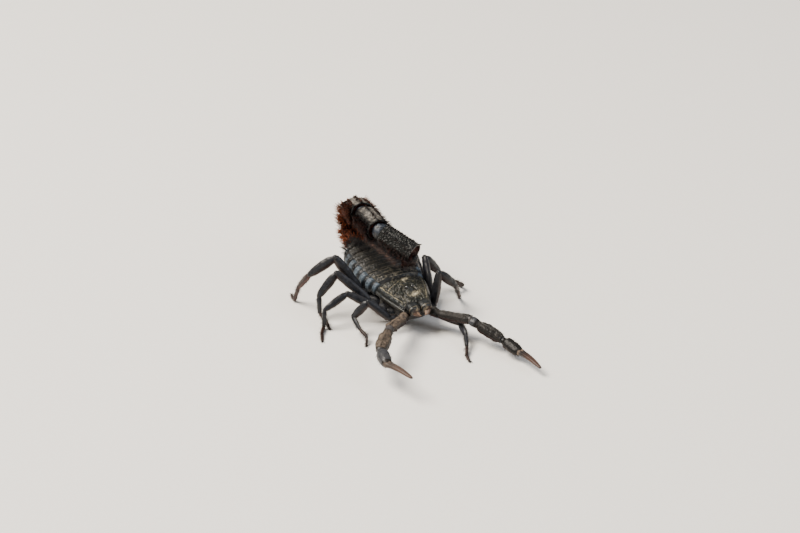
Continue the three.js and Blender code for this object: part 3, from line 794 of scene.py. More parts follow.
def paint(piece: Piece, name: str, value: float) -> None:
    """Sets one mark of a piece to the same value all over."""
    mark(piece.data, name, np.full(len(piece.data.vertices), value))


def named(piece: Piece, name: str) -> Piece:
    """The same piece, with its name given to its mesh as well."""
    piece.name = piece.data.name = name
    return piece


def linked(name: str, data: bpy.types.ID) -> Piece:
    """A new object in the scene.

    Args:
        name: the object's name.
        data: its mesh, lamp or camera.

    Returns:
        The object.
    """
    holder = bpy.data.objects.new(name, data)
    bpy.context.scene.collection.objects.link(holder)
    return holder


def pick(*pieces: Piece) -> None:
    """Selects pieces, or none, and nothing else, and makes the first one active.

    Args:
        pieces: what to select.
    """
    bpy.ops.object.select_all(action="DESELECT")
    for piece in pieces:
        piece.select_set(True)
    bpy.context.view_layer.objects.active = pieces[0] if pieces else None


def lay_grid(name: str, points: Array, marks: Optional[Marks] = None) -> Piece:
    """Adds a grid and lays its corners on a surface.

    Args:
        name: the piece's name.
        points: the surface, rows by columns by three, in millimetres of the animal's frame.
        marks: a value for each corner under each mark's name, kept between 0 and 1.

    Returns:
        The new object, in metres of the CAD frame.
    """
    rows, columns = points.shape[:2]
    pick()
    bpy.ops.mesh.primitive_grid_add(
        x_subdivisions=columns - 1, y_subdivisions=rows - 1, size=1.0, calc_uvs=False
    )
    piece = named(bpy.context.active_object, name)
    placed = ((points.reshape(-1, 3) + SHIFT) * MM).astype(np.float32)
    piece.data.vertices.foreach_set("co", placed.ravel())
    for word in MARKS:
        values = np.clip((marks or {}).get(word, 0.0), 0, 1)
        mark(piece.data, word, np.broadcast_to(values, (rows, columns)))
    piece.data.update()
    return piece


def close_up(piece: Piece, angle: float = 50) -> Piece:
    """Joins a piece's seams and poles, turns its faces out and smooths its shading.

    Args:
        piece: a mesh whose sheet runs round to meet itself.
        angle: edges sharper than this many degrees stay sharp.

    Returns:
        The same piece.
    """
    pick(piece)
    bpy.ops.object.mode_set(mode="EDIT")
    bpy.ops.mesh.select_all(action="SELECT")
    bpy.ops.mesh.remove_doubles(threshold=0.004 * MM)
    bpy.ops.mesh.dissolve_degenerate(threshold=0.001 * MM)
    bpy.ops.mesh.normals_make_consistent(inside=False)
    bpy.ops.object.mode_set(mode="OBJECT")
    bpy.ops.object.shade_smooth_by_angle(angle=math.radians(angle))
    return piece


def loft(name: str, points: Array, marks: Optional[Marks] = None, angle: float = 50) -> Piece:
    """A closed skin through rows of points that run round to meet themselves.

    Args:
        name: the piece's name.
        points: the skin, drawn in to a pole at its first and last row.
        marks: a value for each point under each mark's name.
        angle: edges sharper than this many degrees stay sharp.

    Returns:
        The finished mesh.
    """
    points[:, -1] = points[:, 0]
    return close_up(lay_grid(name, points, marks), angle)


def thicken(piece: Piece, depth: float) -> Piece:
    """Gives an open plate its thickness inward, in millimetres, and closes it.

    Args:
        piece: the open plate.
        depth: its thickness.

    Returns:
        The same piece.
    """
    pick(piece)
    wall = piece.modifiers.new("thickness", "SOLIDIFY")
    wall.thickness = depth * MM
    wall.offset = -1
    wall.use_quality_normals = True
    bpy.ops.object.modifier_apply(modifier=wall.name)
    return close_up(piece, 60)


def joined(name: str, pieces: Sequence[Piece]) -> Piece:
    """Joins several meshes into one piece of the first one's finish.

    Args:
        name: the new piece's name.
        pieces: what it is joined from.

    Returns:
        The joined piece.
    """
    pick(*pieces)
    bpy.ops.object.join()
    return named(pieces[0], name)


def dress(piece: Piece, finish: Finish, slot: str, *nodes: str) -> None:
    """Gives a piece its finish, its body and the CAD nodes that it stands for.

    Args:
        piece: the finished mesh.
        finish: what it is dressed in.
        slot: the name of a material slot; not used.
        nodes: the CAD nodes that it replaces.
    """
    piece.data.materials.clear()
    piece.data.materials.append(finish_of(finish))
    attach(piece, BODY)
    if nodes:
        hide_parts(*nodes)
    LOG.info("%s: %d faces", piece.name, len(piece.data.polygons))


class Section(Enum):
    """The outline of a limb, cut across: corners, turn of the first, flatness, keel height."""

    ROUND = (0, 0.0, 0.0, 0.0)
    BLADE = (4, 0.0, 0.25, 0.05)
    KEELED = (6, 30.0, 0.22, 0.15)
    HAND = (8, 22.5, 0.06, 0.02)

    def radius(self, angle: Array) -> tuple[Array, Array]:
        """The outline's reach and the closeness of a keel, at each angle.

        Args:
            angle: radians from the link's across direction towards its outer side.

        Returns:
            The reach as a share of the half width, and 1 on a keel falling to 0 beside it.
        """
        corners, first, flat, _ = self.value
        if not corners:
            return np.ones_like(angle), np.zeros_like(angle)
        away = off_keel(angle, corners, math.radians(first))
        return 1 - flat + flat * facets(away, corners), bell(away, 0.13)


@dataclass
class Limb:
    """A tapered piece of a limb with rounded ends.

    Attributes:
        name: the piece's name.
        link: the line that it follows.
        rings: share along the link, half width and half height, in order.
        section: its outline.
        caps: roundness of its start and end, as shares of their half width.
        sides: corners round it.
        spacing: distance between its rows, in millimetres.
        grain: height of its grains, in millimetres.
        grain_size: spacing of its grains, in millimetres.
        beads: spacing of the beads along its keels, in millimetres, or 0 for smooth keels.
        dust: share of dust that lies on its outer side.
        bare: the share along which its start is smooth and polished.
        red: how red-brown its underside is, a painted reflection of the red sand.
        rim: height of the rim at its far end, in millimetres.
        lumps: depth of its broad uneven swellings, in millimetres.
    """

    name: str
    link: Link
    rings: Rings
    section: Section = Section.ROUND
    caps: tuple[float, float] = (0.6, 0.4)
    sides: int = 40
    spacing: float = 0.25
    grain: float = 0.0
    grain_size: float = 0.55
    beads: float = 0.0
    dust: float = 0.06
    bare: float = 0.0
    red: float = 0.4
    rim: float = 0.0
    lumps: float = 0.1

    def size_at(self, at: Array) -> tuple[Array, Array]:
        """The half width and half height at shares along the link."""
        places, wide, tall = zip(*self.rings)
        return through(at, places, wide), through(at, places, tall)

    def surface(self) -> tuple[Array, Marks]:
        """Lays out the limb's skin.

        Returns:
            Its points, rows by columns by three, and its marks.
        """
        length = self.link.length
        rows = max(6, int(length / self.spacing))
        dome = np.linspace(0, np.pi / 2, 7)
        first = np.mean(self.rings[0][1:]) * self.caps[0] / length
        last = np.mean(self.rings[-1][1:]) * self.caps[1] / length
        body = np.linspace(0, 1, rows + 1)
        at = down(-first * np.cos(dome[:-1]), body, 1 + last * np.sin(dome[1:]))
        shrink = down(np.sin(dome[:-1]), np.ones(rows + 1), np.cos(dome[1:]))
        wide, tall = self.size_at(np.clip(at, 0, 1))
        angle = np.linspace(0, TURN, self.sides + 1)
        reach, keel = self.section.radius(angle)
        keel_height = self.section.value[3]
        inside, soft, beads, bare = smooth(shrink, 0.75, 1.0), reach, 1.0, 0.0
        near = 0.45 / length
        crease = smooth(at, near, 0.0) + smooth(at, 1.0 - near * 0.4, 1.0)
        if self.beads:
            beads = 0.45 + 0.55 * np.abs(np.sin(np.pi * at * length / self.beads))
        if self.bare:
            inside = inside * smooth(at, self.bare - 0.03, self.bare + 0.06)
            soft = 1 - (1 - reach) * inside
            crease = crease + bell(at - self.bare, 0.03)
            bare = smooth(at, self.bare + 0.01, self.bare - 0.05)
        ring = bell((1 - at) * length, 0.28) * (shrink > 0.99)
        offset = self.link.around(angle, wide, tall)
        scale = shrink * (soft + keel_height * keel * beads * inside)
        points = self.link.axis(at) + scaled(offset, scale)
        swell = mottle(points, 1.7, 23) + 0.4 * mottle(points, 0.8, 24) - 0.7
        height = self.rim * ring + 2 * self.lumps * swell * smooth(shrink, 0.5, 1.0)
        if self.grain:
            height = height + self.grain * grains(points, self.grain_size, 3) * inside
        points = points + scaled(unit(offset), height)
        edge = np.clip((0.7 if keel_height else 0.0) * keel * inside + crease, 0, 1)
        patchy = 0.35 + 0.65 * mottle(points, 1.6, 17)
        upper = smooth(np.sin(angle), -0.3, 0.8)
        dust = self.dust * upper * patchy * (1 - 0.6 * edge) * (1 - 0.7 * bare)
        return points, {
            "Edge": edge * (1 - 0.8 * bare * (crease < 0.5)),
            "Dust": dust,
            "Bare": bare,
            # Painted reflected light: the underside turns red-brown as if lit from the red sand.
            "Red": self.red * smooth(np.sin(angle), 0.1, -0.7),
        }

    def build(self) -> Piece:
        """Makes the limb's mesh."""
        return loft(self.name, *self.surface())


def ring_tube(
    name: str, path: Array, radii: Array, sides: int = 12, marks: Optional[Marks] = None
) -> Piece:
    """A closed tube through the points of a path.

    Args:
        name: the piece's name.
        path: the points of its middle line, in millimetres.
        radii: its radius at each point, 0 at both ends.
        sides: corners round it.
        marks: a value for each point of the path under each mark's name.

    Returns:
        The finished mesh.
    """
    tangents = unit(np.gradient(path, axis=0))
    side = np.cross(tangents, [0.0, 0.0, 1.0])
    side[np.linalg.norm(side, axis=1) < 1e-3] = [1.0, 0.0, 0.0]
    side = unit(side)[:, None]
    up = np.cross(side, tangents[:, None])
    angle = np.linspace(0, TURN, sides + 1)
    cos, sin = radii[:, None] * np.cos(angle), radii[:, None] * np.sin(angle)
    points = path[:, None] + scaled(side, cos) + scaled(up, sin)
    rows = {word: np.asarray(values)[:, None] for word, values in (marks or {}).items()}
    return loft(name, points, rows)


def sphere(name: str, centre: Array, radius: float) -> Piece:
    """A smooth ball, a little lower than wide.

    Args:
        name: the piece's name.
        centre: its middle, in millimetres.
        radius: its radius.

    Returns:
        The finished mesh.
    """
    pick()
    bpy.ops.mesh.primitive_uv_sphere_add(
        segments=28, ring_count=16, radius=radius * MM, calc_uvs=False
    )
    piece = named(bpy.context.active_object, name)
    for word in MARKS:
        mark(piece.data, word)
    piece.data.transform(Matrix.Diagonal((1.0, 1.0, 0.96, 1.0)))
    piece.data.transform(Matrix.Translation(Vector((centre + SHIFT) * MM)))
    return close_up(piece)


class Tooth(Enum):
    """The small hard points, each kind modelled once at unit size along +Z and then copied."""

    SHARP = "sharp_tooth"
    BLUNT = "blunt_tooth"

    def model(self) -> bpy.types.Mesh:
        """Models the tooth: a cone with a rounded tip, or a peg with a domed end.

        Returns:
            Its mesh.
        """
        form = {"vertices": 9, "depth": 1.0, "location": (0, 0, 0.5)}
        pick()
        if self is Tooth.SHARP:
            bpy.ops.mesh.primitive_cone_add(radius1=1.0, radius2=0.24, **form)
        else:
            bpy.ops.mesh.primitive_cylinder_add(radius=0.85, **form)
        bpy.ops.object.transform_apply(location=True)
        piece = bpy.context.active_object
        bpy.ops.object.mode_set(mode="EDIT")
        bpy.ops.mesh.select_all(action="DESELECT")
        bpy.ops.object.mode_set(mode="OBJECT")
        for face in piece.data.polygons:
            face.select = face.normal.z > 0.9
        bpy.ops.object.mode_set(mode="EDIT")
        bpy.ops.mesh.select_mode(type="FACE")
        rounding = 0.2 if self is Tooth.SHARP else 0.5
        bpy.ops.mesh.bevel(offset=rounding, segments=3, affect="EDGES")
        bpy.ops.object.mode_set(mode="OBJECT")
        bpy.ops.object.shade_smooth()
        mesh = piece.data
        for word in MARKS:
            mark(mesh, word)
        bpy.data.objects.remove(piece)
        return mesh

    def place(self, name: str, root: Array, tip: Array, radius: float) -> Piece:
        """Copies the tooth to its place.

        Args:
            name: the piece's name.
            root: the middle of its base, in millimetres.
            tip: its point.
            radius: the radius of its base.

        Returns:
            The new tooth, with a mesh of its own.
        """
        if self not in TEETH:
            TEETH[self] = self.model()
        mesh = TEETH[self].copy()
        reach = Vector(tip - root)
        size = Matrix.Diagonal((radius * MM, radius * MM, reach.length * MM, 1.0))
        turn = reach.to_track_quat("Z", "Y").to_matrix().to_4x4()
        mesh.transform(Matrix.Translation(Vector((root + SHIFT) * MM)) @ turn @ size)
        return linked(name, mesh)


TEETH: dict[Tooth, bpy.types.Mesh] = {}


# ---- Bristles ----


@dataclass
class Coat:
    """Bristles on the skin, as one mesh of thin curved three-sided hairs.

    Attributes:
        name: the piece's name.
        seed: starts its random draws.
        thick: a bristle's width at its root, in millimetres.
        tuft: how many bristles stand together.
        parts: the roots, outs, lies, lengths and places that were added so far.
    """

    name: str
    seed: int
    thick: float = 0.115
    tuft: int = 1
    parts: list[tuple[Array, ...]] = field(default_factory=list)

    def __post_init__(self) -> None:
        """Starts the coat's own steady random draws."""
        self.random = np.random.default_rng(self.seed)

    def add(self, roots: Array, outs: Array, lies: Array, lengths: Array, places: Array) -> None:
        """Adds bristles.

        Args:
            roots: where each one stands, in millimetres.
            outs: the direction in which each one leaves the skin.
            lies: the direction towards which each one bends.
            lengths: the length of each one.
            places: the root's place on the unwrapped skin.
        """
        self.parts.append((roots, outs, lies, lengths, places))

    def on_limb(
        self,
        limb: Limb,
        count: int,
        length: float,
        patch: tuple[float, float, float, float],
        lean: float = 0.5,
        side_weight: Optional[Weight] = None,
        span: tuple[float, float] = (0.04, 0.97),
    ) -> None:
        """Spreads bristles over a limb.

        Args:
            limb: the limb that carries them.
            count: how many are tried.
            length: their usual length, in millimetres.
            patch: left, bottom, width and height of the limb's place on the unwrap.
            lean: how far they lean along the limb.
            side_weight: share of the usual length at each place, from share along and angle.
            span: the part of the limb that carries them.
        """
        draws, link = self.random, limb.link
        tufts = max(1, count // self.tuft)
        at = span[0] + (span[1] - span[0]) * draws.random(tufts)
        angle = TURN * draws.random(tufts)
        wander = draws.normal(0, 0.2, (tufts, 3))
        size = 0.65 + 0.6 * draws.random(tufts)
        weight = side_weight(at, angle) if side_weight else np.ones(tufts)
        keep = weight > 0.12
        at, angle, wander, weight = (
            np.repeat(values[keep], self.tuft, axis=0)
            for values in (at, angle, wander, weight * size)
        )
        if self.tuft > 1:
            at = np.clip(at + draws.normal(0, 0.13 / link.length, len(at)), *span)
            angle = angle + draws.normal(0, 0.05, len(at))
        wide, tall = limb.size_at(at)
        reach, _ = limb.section.radius(angle)
        roots = link.axis(at) + link.around(angle, wide * reach, tall * reach) * 0.98
        outs = unit(link.around(angle, 1 / wide, 1 / tall))
        wander = wander + draws.normal(0, 0.05, wander.shape)
        outs = unit(outs + wander + link.along * lean)
        lies = np.broadcast_to(link.along, outs.shape)
        lengths = length * weight * (0.8 + 0.3 * draws.random(len(at)))
        left, low, width, height = patch
        places = np.stack([left + width * angle / TURN, low + height * at], axis=1)
        self.add(roots, outs, lies, lengths, places)

    def build(self) -> Piece:
        """Makes the coat's mesh.

        Returns:
            The coat, with its root places as the map OFBake, the share along each bristle as its
            Reach mark and how dark each bristle is as its Shade mark.
        """
        roots, outs, lies, lengths, places = map(np.concatenate, zip(*self.parts))
        count = len(roots)
        shares, widths = np.array([-0.08, 0.35, 0.7]), (1.0, 0.8, 0.45)
        side = unit(np.cross(outs, lies + self.random.normal(0, 0.3, outs.shape)))
        other = np.cross(outs, side)
        thick = self.thick / 2 * (0.75 + 0.5 * self.random.random(count))

        def middle(share: float) -> Array:
            """The bristles' middle line at a share of their length."""
            return roots + scaled(outs * share + lies * (0.22 * share * share), lengths)

        corners = [
            middle(share) + scaled(math.cos(turn) * side + math.sin(turn) * other, thick * width)
            for share, width in zip(shares, widths)
            for turn in TURN / 3 * np.arange(3)
        ]
        points = np.stack([*corners, middle(1.0)], axis=1).reshape(-1, 3)
        ring = [(0, 1), (1, 2), (2, 0)]
        faces = []
        for level in (0, 3):
            for low, high in ((a + level, b + level) for a, b in ring):
                faces += [(low, high, high + 3), (low, high + 3, low + 3)]
        faces += [(6 + low, 6 + high, 9) for low, high in ring] + [(2, 1, 0)]
        each = len(corners) + 1
        index = (np.array(faces) + each * np.arange(count)[:, None, None]).reshape(-1, 3)
        mesh = bpy.data.meshes.new(self.name)
        mesh.vertices.add(len(points))
        mesh.vertices.foreach_set("co", ((points + SHIFT) * MM).astype(np.float32).ravel())
        mesh.loops.add(index.size)
        mesh.loops.foreach_set("vertex_index", index.astype(np.int32).ravel())
        mesh.polygons.add(len(index))
        mesh.polygons.foreach_set("loop_start", np.arange(0, index.size, 3, dtype=np.int32))
        mesh.update(calc_edges=True)
        mark(mesh, "Reach", np.tile(np.append(np.repeat(np.clip(shares, 0, 1), 3), 1.0), count))
        tufts = np.repeat(self.random.random(-(-count // self.tuft)), self.tuft)[:count]
        own = smooth(0.35 * tufts + 0.65 * self.random.random(count), 0.25, 0.6)
        mark(mesh, "Shade", np.repeat(own, each))
        apart = [(0.001 * k, 0.001 * row - 0.0005) for row in (-1, 0, 1) for k in (-1, 0, 1)]
        unwrap = (places[:, None] + np.array([*apart, (0.0, 0.0015)])).reshape(-1, 2)
        bake = mesh.uv_layers.new(name="OFBake")
        bake.data.foreach_set("uv", unwrap[index.ravel()].astype(np.float32).ravel())
        mesh.validate()
        return linked(self.name, mesh)


# ---- Head ----


def bow(y: Array) -> Array:
    """How far the body's middle line lies to the left at a distance behind the front margin."""
    return BOW * np.sin(np.pi * np.asarray(y) / TAIL_ROOT[1])


def head_width(y: Array) -> Array:
    """The carapace's half width at a distance behind its front margin."""
    t = np.clip(np.asarray(y) / HEAD_LENGTH, 0, 1)
    return HEAD_HALF[0] + (HEAD_HALF[1] - HEAD_HALF[0]) * np.sin(t * 1.35) / math.sin(1.35)


def head_edge(y: Array) -> Array:
    """The height of the carapace's side margin."""
    return HEAD_EDGE[0] + (HEAD_EDGE[1] - HEAD_EDGE[0]) * np.asarray(y) / HEAD_LENGTH


@dataclass
class Carapace:
    """The head shield: furrows filled with pale dust, grains, the ocular tubercle and the eyes."""

    rows: int = 150
    columns: int = 230
    # Furrows on one side, from the middle line outwards, mirrored on the other.
    side_furrows: tuple[Path, ...] = (
        ((0.2, 13.2), (1.8, 12.3), (4.8, 10.7), (6.4, 9.8)),
        ((7.7, 13.3), (7.2, 10.6), (6.6, 8.8), (5.9, 6.2), (5.2, 4.2), (4.4, 2.3)),
        ((3.1, 8.4), (4.2, 7.4), (5.9, 6.6)),
        ((2.7, 5.4), (3.2, 3.4), (3.0, 1.6)),
    )
    middle_furrows: tuple[Path, ...] = (
        ((0.0, 0.2), (0.1, 2.2), (-0.1, 4.2)),
        ((0.0, 9.9), (0.2, 11.6), (0.0, 13.6)),
    )

    def relief(self, x: Array, y: Array, points: Array) -> tuple[Array, Array]:
        """The height of the furrows, tubercle and grains over the plain shield, and its dust.

        Args:
            x: distance from the middle line.
            y: distance behind the front margin.
            points: the plain shield's points.

        Returns:
            The height in millimetres and the dust mark.
        """
        bend = 0.5 * (mottle(points, 1.5, 5) - 0.5)
        sides = [near_path(np.abs(x) + bend, y + bend, path) for path in self.side_furrows]
        centres = [near_path(x + bend, y, path) + 0.08 for path in self.middle_furrows]
        eye_x, eye_y = x - (OCULAR[0] - bow(OCULAR[1])), y - OCULAR[1]
        ring = np.hypot(eye_x, eye_y / 1.2)
        furrow = np.minimum.reduce([*sides, *centres, np.abs(ring + bend - 2.35) + 0.05])
        groove = bell(furrow, 0.22)
        line = bell(np.minimum(*sides[:2]), 0.1) + 0.15 * bell(furrow, 0.1)
        mound = 0.85 * smooth(ring, 2.2, 0.8)
        brow = 0.62 * bell(np.abs(eye_x) - 0.46, 0.26) * np.exp(-((eye_y / 1.3) ** 4))
        plain = 1 - smooth(ring, 2.0, 1.4)
        bumps = grains(points, 0.62, 11) * (1 - 0.8 * groove) * plain
        coarse = grains(points, 1.25, 12) * (1 - groove) * plain
        swell = 0.5 * (mottle(points, 3.2, 14) - 0.5) * plain
        fine = grains(points, 0.4, 17) * (1 - 0.7 * groove) * (0.5 + 0.5 * plain)
        height = 0.24 * bumps + 0.28 * coarse + 0.1 * fine + swell - 0.34 * groove + mound + brow
        left = x + bow(y)
        front = bell(left - 1.5, 1.5) * bell(y - 4.3 - 0.35 * (left - 1.5), 0.75)
        rear = bell(left - 1.9, 1.6) * bell(y - 12.6 - 0.25 * (left - 1.9), 0.8)
        dusty_left = smooth(left, 3.0, 5.5) * smooth(y, 9.5, 7.0)
        net = veins(points, 1.5, 0.12, 10) * smooth(mottle(points, 2.3, 8), 0.35, 0.6)
        speck = smooth(mottle(points, 0.5, 9), 0.66, 0.82)
        broken = smooth(mottle(points, 1.1, 13), 0.2, 0.5)
        dust = (
            line * (0.2 + 0.8 * broken) + 0.08 * net + 0.16 * speck + 1.4 * front
            + 0.9 * rear * (0.12 + 0.88 * veins(points, 0.8, 0.16, 15)) + 0.08 * dusty_left
        )
        return height, np.clip(dust * (0.15 + 0.85 * plain), 0, 1)

    def build(self) -> None:
        """Makes and dresses the shield and its eyes."""
        t = down([0.0, 0.0], np.linspace(0, 1, self.rows + 1), [1.0, 1.0])
        lip = down([0.0, 0.75], np.ones(self.rows + 1), [0.75, 0.0])
        upper = int(self.columns * 0.84)
        angle = np.concatenate([
            np.linspace(-0.05, np.pi + 0.05, upper, endpoint=False),
            np.linspace(np.pi + 0.05, TURN - 0.05, self.columns - upper + 1),
        ])
        y = t * HEAD_LENGTH
        edge = head_edge(y)
        top = HEAD_TOP[0] + (HEAD_TOP[1] - HEAD_TOP[0]) * np.sin(t * np.pi / 2) - edge
        rise = through(t, (0, 0.05, 0.2, 0.4, 0.8, 0.95, 1), (0.66, 0.84, 0.95, 1, 1, 0.98, 0.9))
        across, up = power(np.cos(angle), 0.75), np.sin(angle)
        high = top * rise * power(np.clip(up, 0, 1), 0.78)
        low = 0.9 * power(np.clip(up, -1, 0), 0.4)
        notch = HEAD_NOTCH * (1 - t) ** 6
        x = head_width(y) * across
        plain = spread(bow(y) + x, y + notch * (1 - across**2), edge + high + low)
        points = towards(spread(bow(y), y + notch, edge + 0.2), plain, lip)
        height, dust = self.relief(x, y, plain)
        whole = smooth(lip, 0.9, 1.0)
        inner = smooth(up, 0.3, 0.62) * whole
        flank = smooth(up, 0.02, 0.1) * (1 - inner) * whole
        ledge = bell(up - 0.3, 0.13) * (up > 0) * smooth(t, 0.02, 0.12)
        margin = bell(up - 0.1, 0.09)
        points[:, :, 2] += height * inner - 0.22 * ledge
        points[:, :, 0] += 0.18 * margin * np.sign(across) * lip
        shield = loft("carapace_shield", points, {
            "Edge": 0.8 * ledge + smooth(t, 0.972, 0.99) + smooth(t, 0.075, 0.04),
            "Dust": dust * inner + 0.15 * margin * mottle(plain, 0.9, 18),
            "Bare": 0.85 * flank * (1 - ledge),
        })
        dress(shield, Finish.HEAD, "back_plate", "carapace")
        for word, side in SIDES.items():
            self.eyes(side, word)

    def eyes(self, side: int, word: str) -> None:
        """Makes a median eye and the three small side eyes at its front corner.

        Args:
            side: 1 for the animal's left, -1 for its right.
            word: the same side in words.
        """
        centre = OCULAR + EYE_OFFSET + np.array([side * EYE_APART, 0.0, 0.0])
        eye = sphere(f"median_eye_{word}_lens", centre, EYE_RADIUS)
        dress(eye, Finish.EYE, "eye", f"median_eye_{word}")
        beads = []
        for i, y in enumerate((0.95, 1.7, 2.45)):
            spot = np.array([bow(y) + side * (head_width(y) - 0.32), y, head_edge(y) + 0.75])
            beads.append(sphere(f"side_eye_{word}_{i}", spot, 0.3))
        dress(joined(f"side_eyes_{word}", beads), Finish.EYE, "eye")


@dataclass
class Jaw:
    """A chelicera: a smooth swollen block with a fixed and a movable finger turned inward."""

    word: str
    centre: float = 2.17
    half: float = 2.1
    tall: float = 1.8
    reach: float = 3.9
    height: float = 9.4

    def build(self) -> None:
        """Makes and dresses the jaw."""
        side, node = SIDES[self.word], f"chelicera_{self.word}"
        v = np.linspace(0, 1, 61)
        profile = through(v, (0, 0.2, 0.4, 0.6, 0.8, 0.93, 1), (0.9, 1, 1, 0.95, 0.8, 0.55, 0))
        run, shrink = down([0.0], v), down([0.0], profile)
        angle = np.linspace(0, TURN, 81)
        wide = self.half * shrink * power(np.cos(angle), 0.85)
        high = self.tall * shrink * power(np.sin(angle), 0.85)
        y = 0.8 - self.reach * np.sin(run * np.pi / 2)
        points = spread(side * self.centre + wide, y, self.height - 0.4 * run + high)
        upper = smooth(np.sin(angle), -0.3, 0.2)
        seam = bell(run - 0.5, 0.03) * upper
        rib = bell(wide * side + 0.55, 0.2) * upper * smooth(run, 0.45, 0.6)
        points[:, :, 2] += 0.06 * grains(points, 0.5, 21) * smooth(shrink, 0.5, 1)
        points[:, :, 2] += 0.16 * (rib - seam)
        front = smooth(run, 0.75, 0.95) * smooth(mottle(points, 0.7, 22), 0.45, 0.7)
        pale = bell(run - 0.58, 0.03) * upper + rib
        block = loft(f"jaw_{self.word}_block", points, {
            "Edge": seam + smooth(run, 0.1, 0.02) + 0.6 * smooth(np.abs(np.cos(angle)), 0.9, 1.0),
            "Dust": 0.45 * front + 0.4 * pale,
            "Red": smooth(run, 0.8, 1.0),
        })
        dress(block, Finish.JAW, "belly_skin", node)
        pieces = self.finger(0.6, -1.7, 1.0, -4.1, 0.8, 0.3, 0.32)
        pieces += self.finger(-0.5, -1.9, 0.5, -4.0, 0.62, 0.9, -0.192)
        dress(joined(f"jaw_{self.word}_fingers", pieces), Finish.JAW_FINGER, "finger_shell", node)

    def finger(
        self, out: float, start: float, inner: float, end: float, thick: float, red: float,
        bite: float,
    ) -> list[Piece]:
        """Makes a finger of the jaw and its teeth.

        Args:
            out: how far its root lies outside the jaw's middle.
            start: how far back its root lies.
            inner: how far its tip lies from the body's middle.
            end: how far back its tip lies.
            thick: its radius at the root.
            red: how red-brown it is.
            bite: how far its teeth reach inward.

        Returns:
            The finger and its teeth.
        """
        side = SIDES[self.word]
        root = np.array([side * (self.centre + out), start, self.height - 0.6])
        tip = np.array([side * inner, end, self.height - 1.7])
        s = np.linspace(0, 1, 21)
        path = root + scaled(tip - root, s)
        path += scaled(np.array([side * 0.35, -0.55, 0.0]), np.sin(s * np.pi))
        radii = thick * (1 - s**1.7) * np.minimum(1, s * 9)
        pieces = [ring_tube(f"jaw_{self.word}_finger", path, radii, 20)]
        paint(pieces[0], "Red", red)
        for spot in path[9:17:2]:
            point = spot + np.array([-side * bite, -0.2, -0.3])
            pieces.append(Tooth.SHARP.place(f"jaw_{self.word}_tooth", spot, point, 0.16))
            paint(pieces[-1], "Red", 1.0)
        return pieces


# ---- Trunk ----

PLATE_STARTS = np.concatenate([[0.0], np.cumsum(TERGITES)])
TRUNK_FRONT = HEAD_LENGTH + GAP
TRUNK_END = PLATE_STARTS[-1]
TRUNK_SIZES = (TRUNK_HALF, TRUNK_TOP, TRUNK_MIDDLE, TRUNK_BELLY)


def plate_at(distance: Array) -> tuple[Array, Array]:
    """The number of the back plate at distances behind the carapace, and the share along it."""
    plate = np.clip(np.searchsorted(PLATE_STARTS, distance, side="right") - 1, 0, 6)
    return plate, (distance - PLATE_STARTS[plate]) / np.array(TERGITES)[plate]


def trunk_point(distance: Array, angle: Array, grow: Array) -> Array:
    """Points of the trunk's outline.

    Args:
        distance: millimetres behind the carapace.
        angle: radians round the trunk, from its left side over the back.
        grow: how far the point lies outside the plain trunk.

    Returns:
        The points.
    """
    half, top, middle, low = (through(distance, PLATE_STARTS, size) for size in TRUNK_SIZES)
    up = np.sin(angle)
    back = (top - middle - LIP + grow) * power(np.clip(up, 0, 1), 0.82)
    belly = (middle - low + grow) * power(np.clip(up, -1, 0), 0.8)
    y = TRUNK_FRONT + distance
    x = bow(y) + (half - 0.5 + grow) * power(np.cos(angle), 0.66)
    return spread(x, y, middle + back + belly)


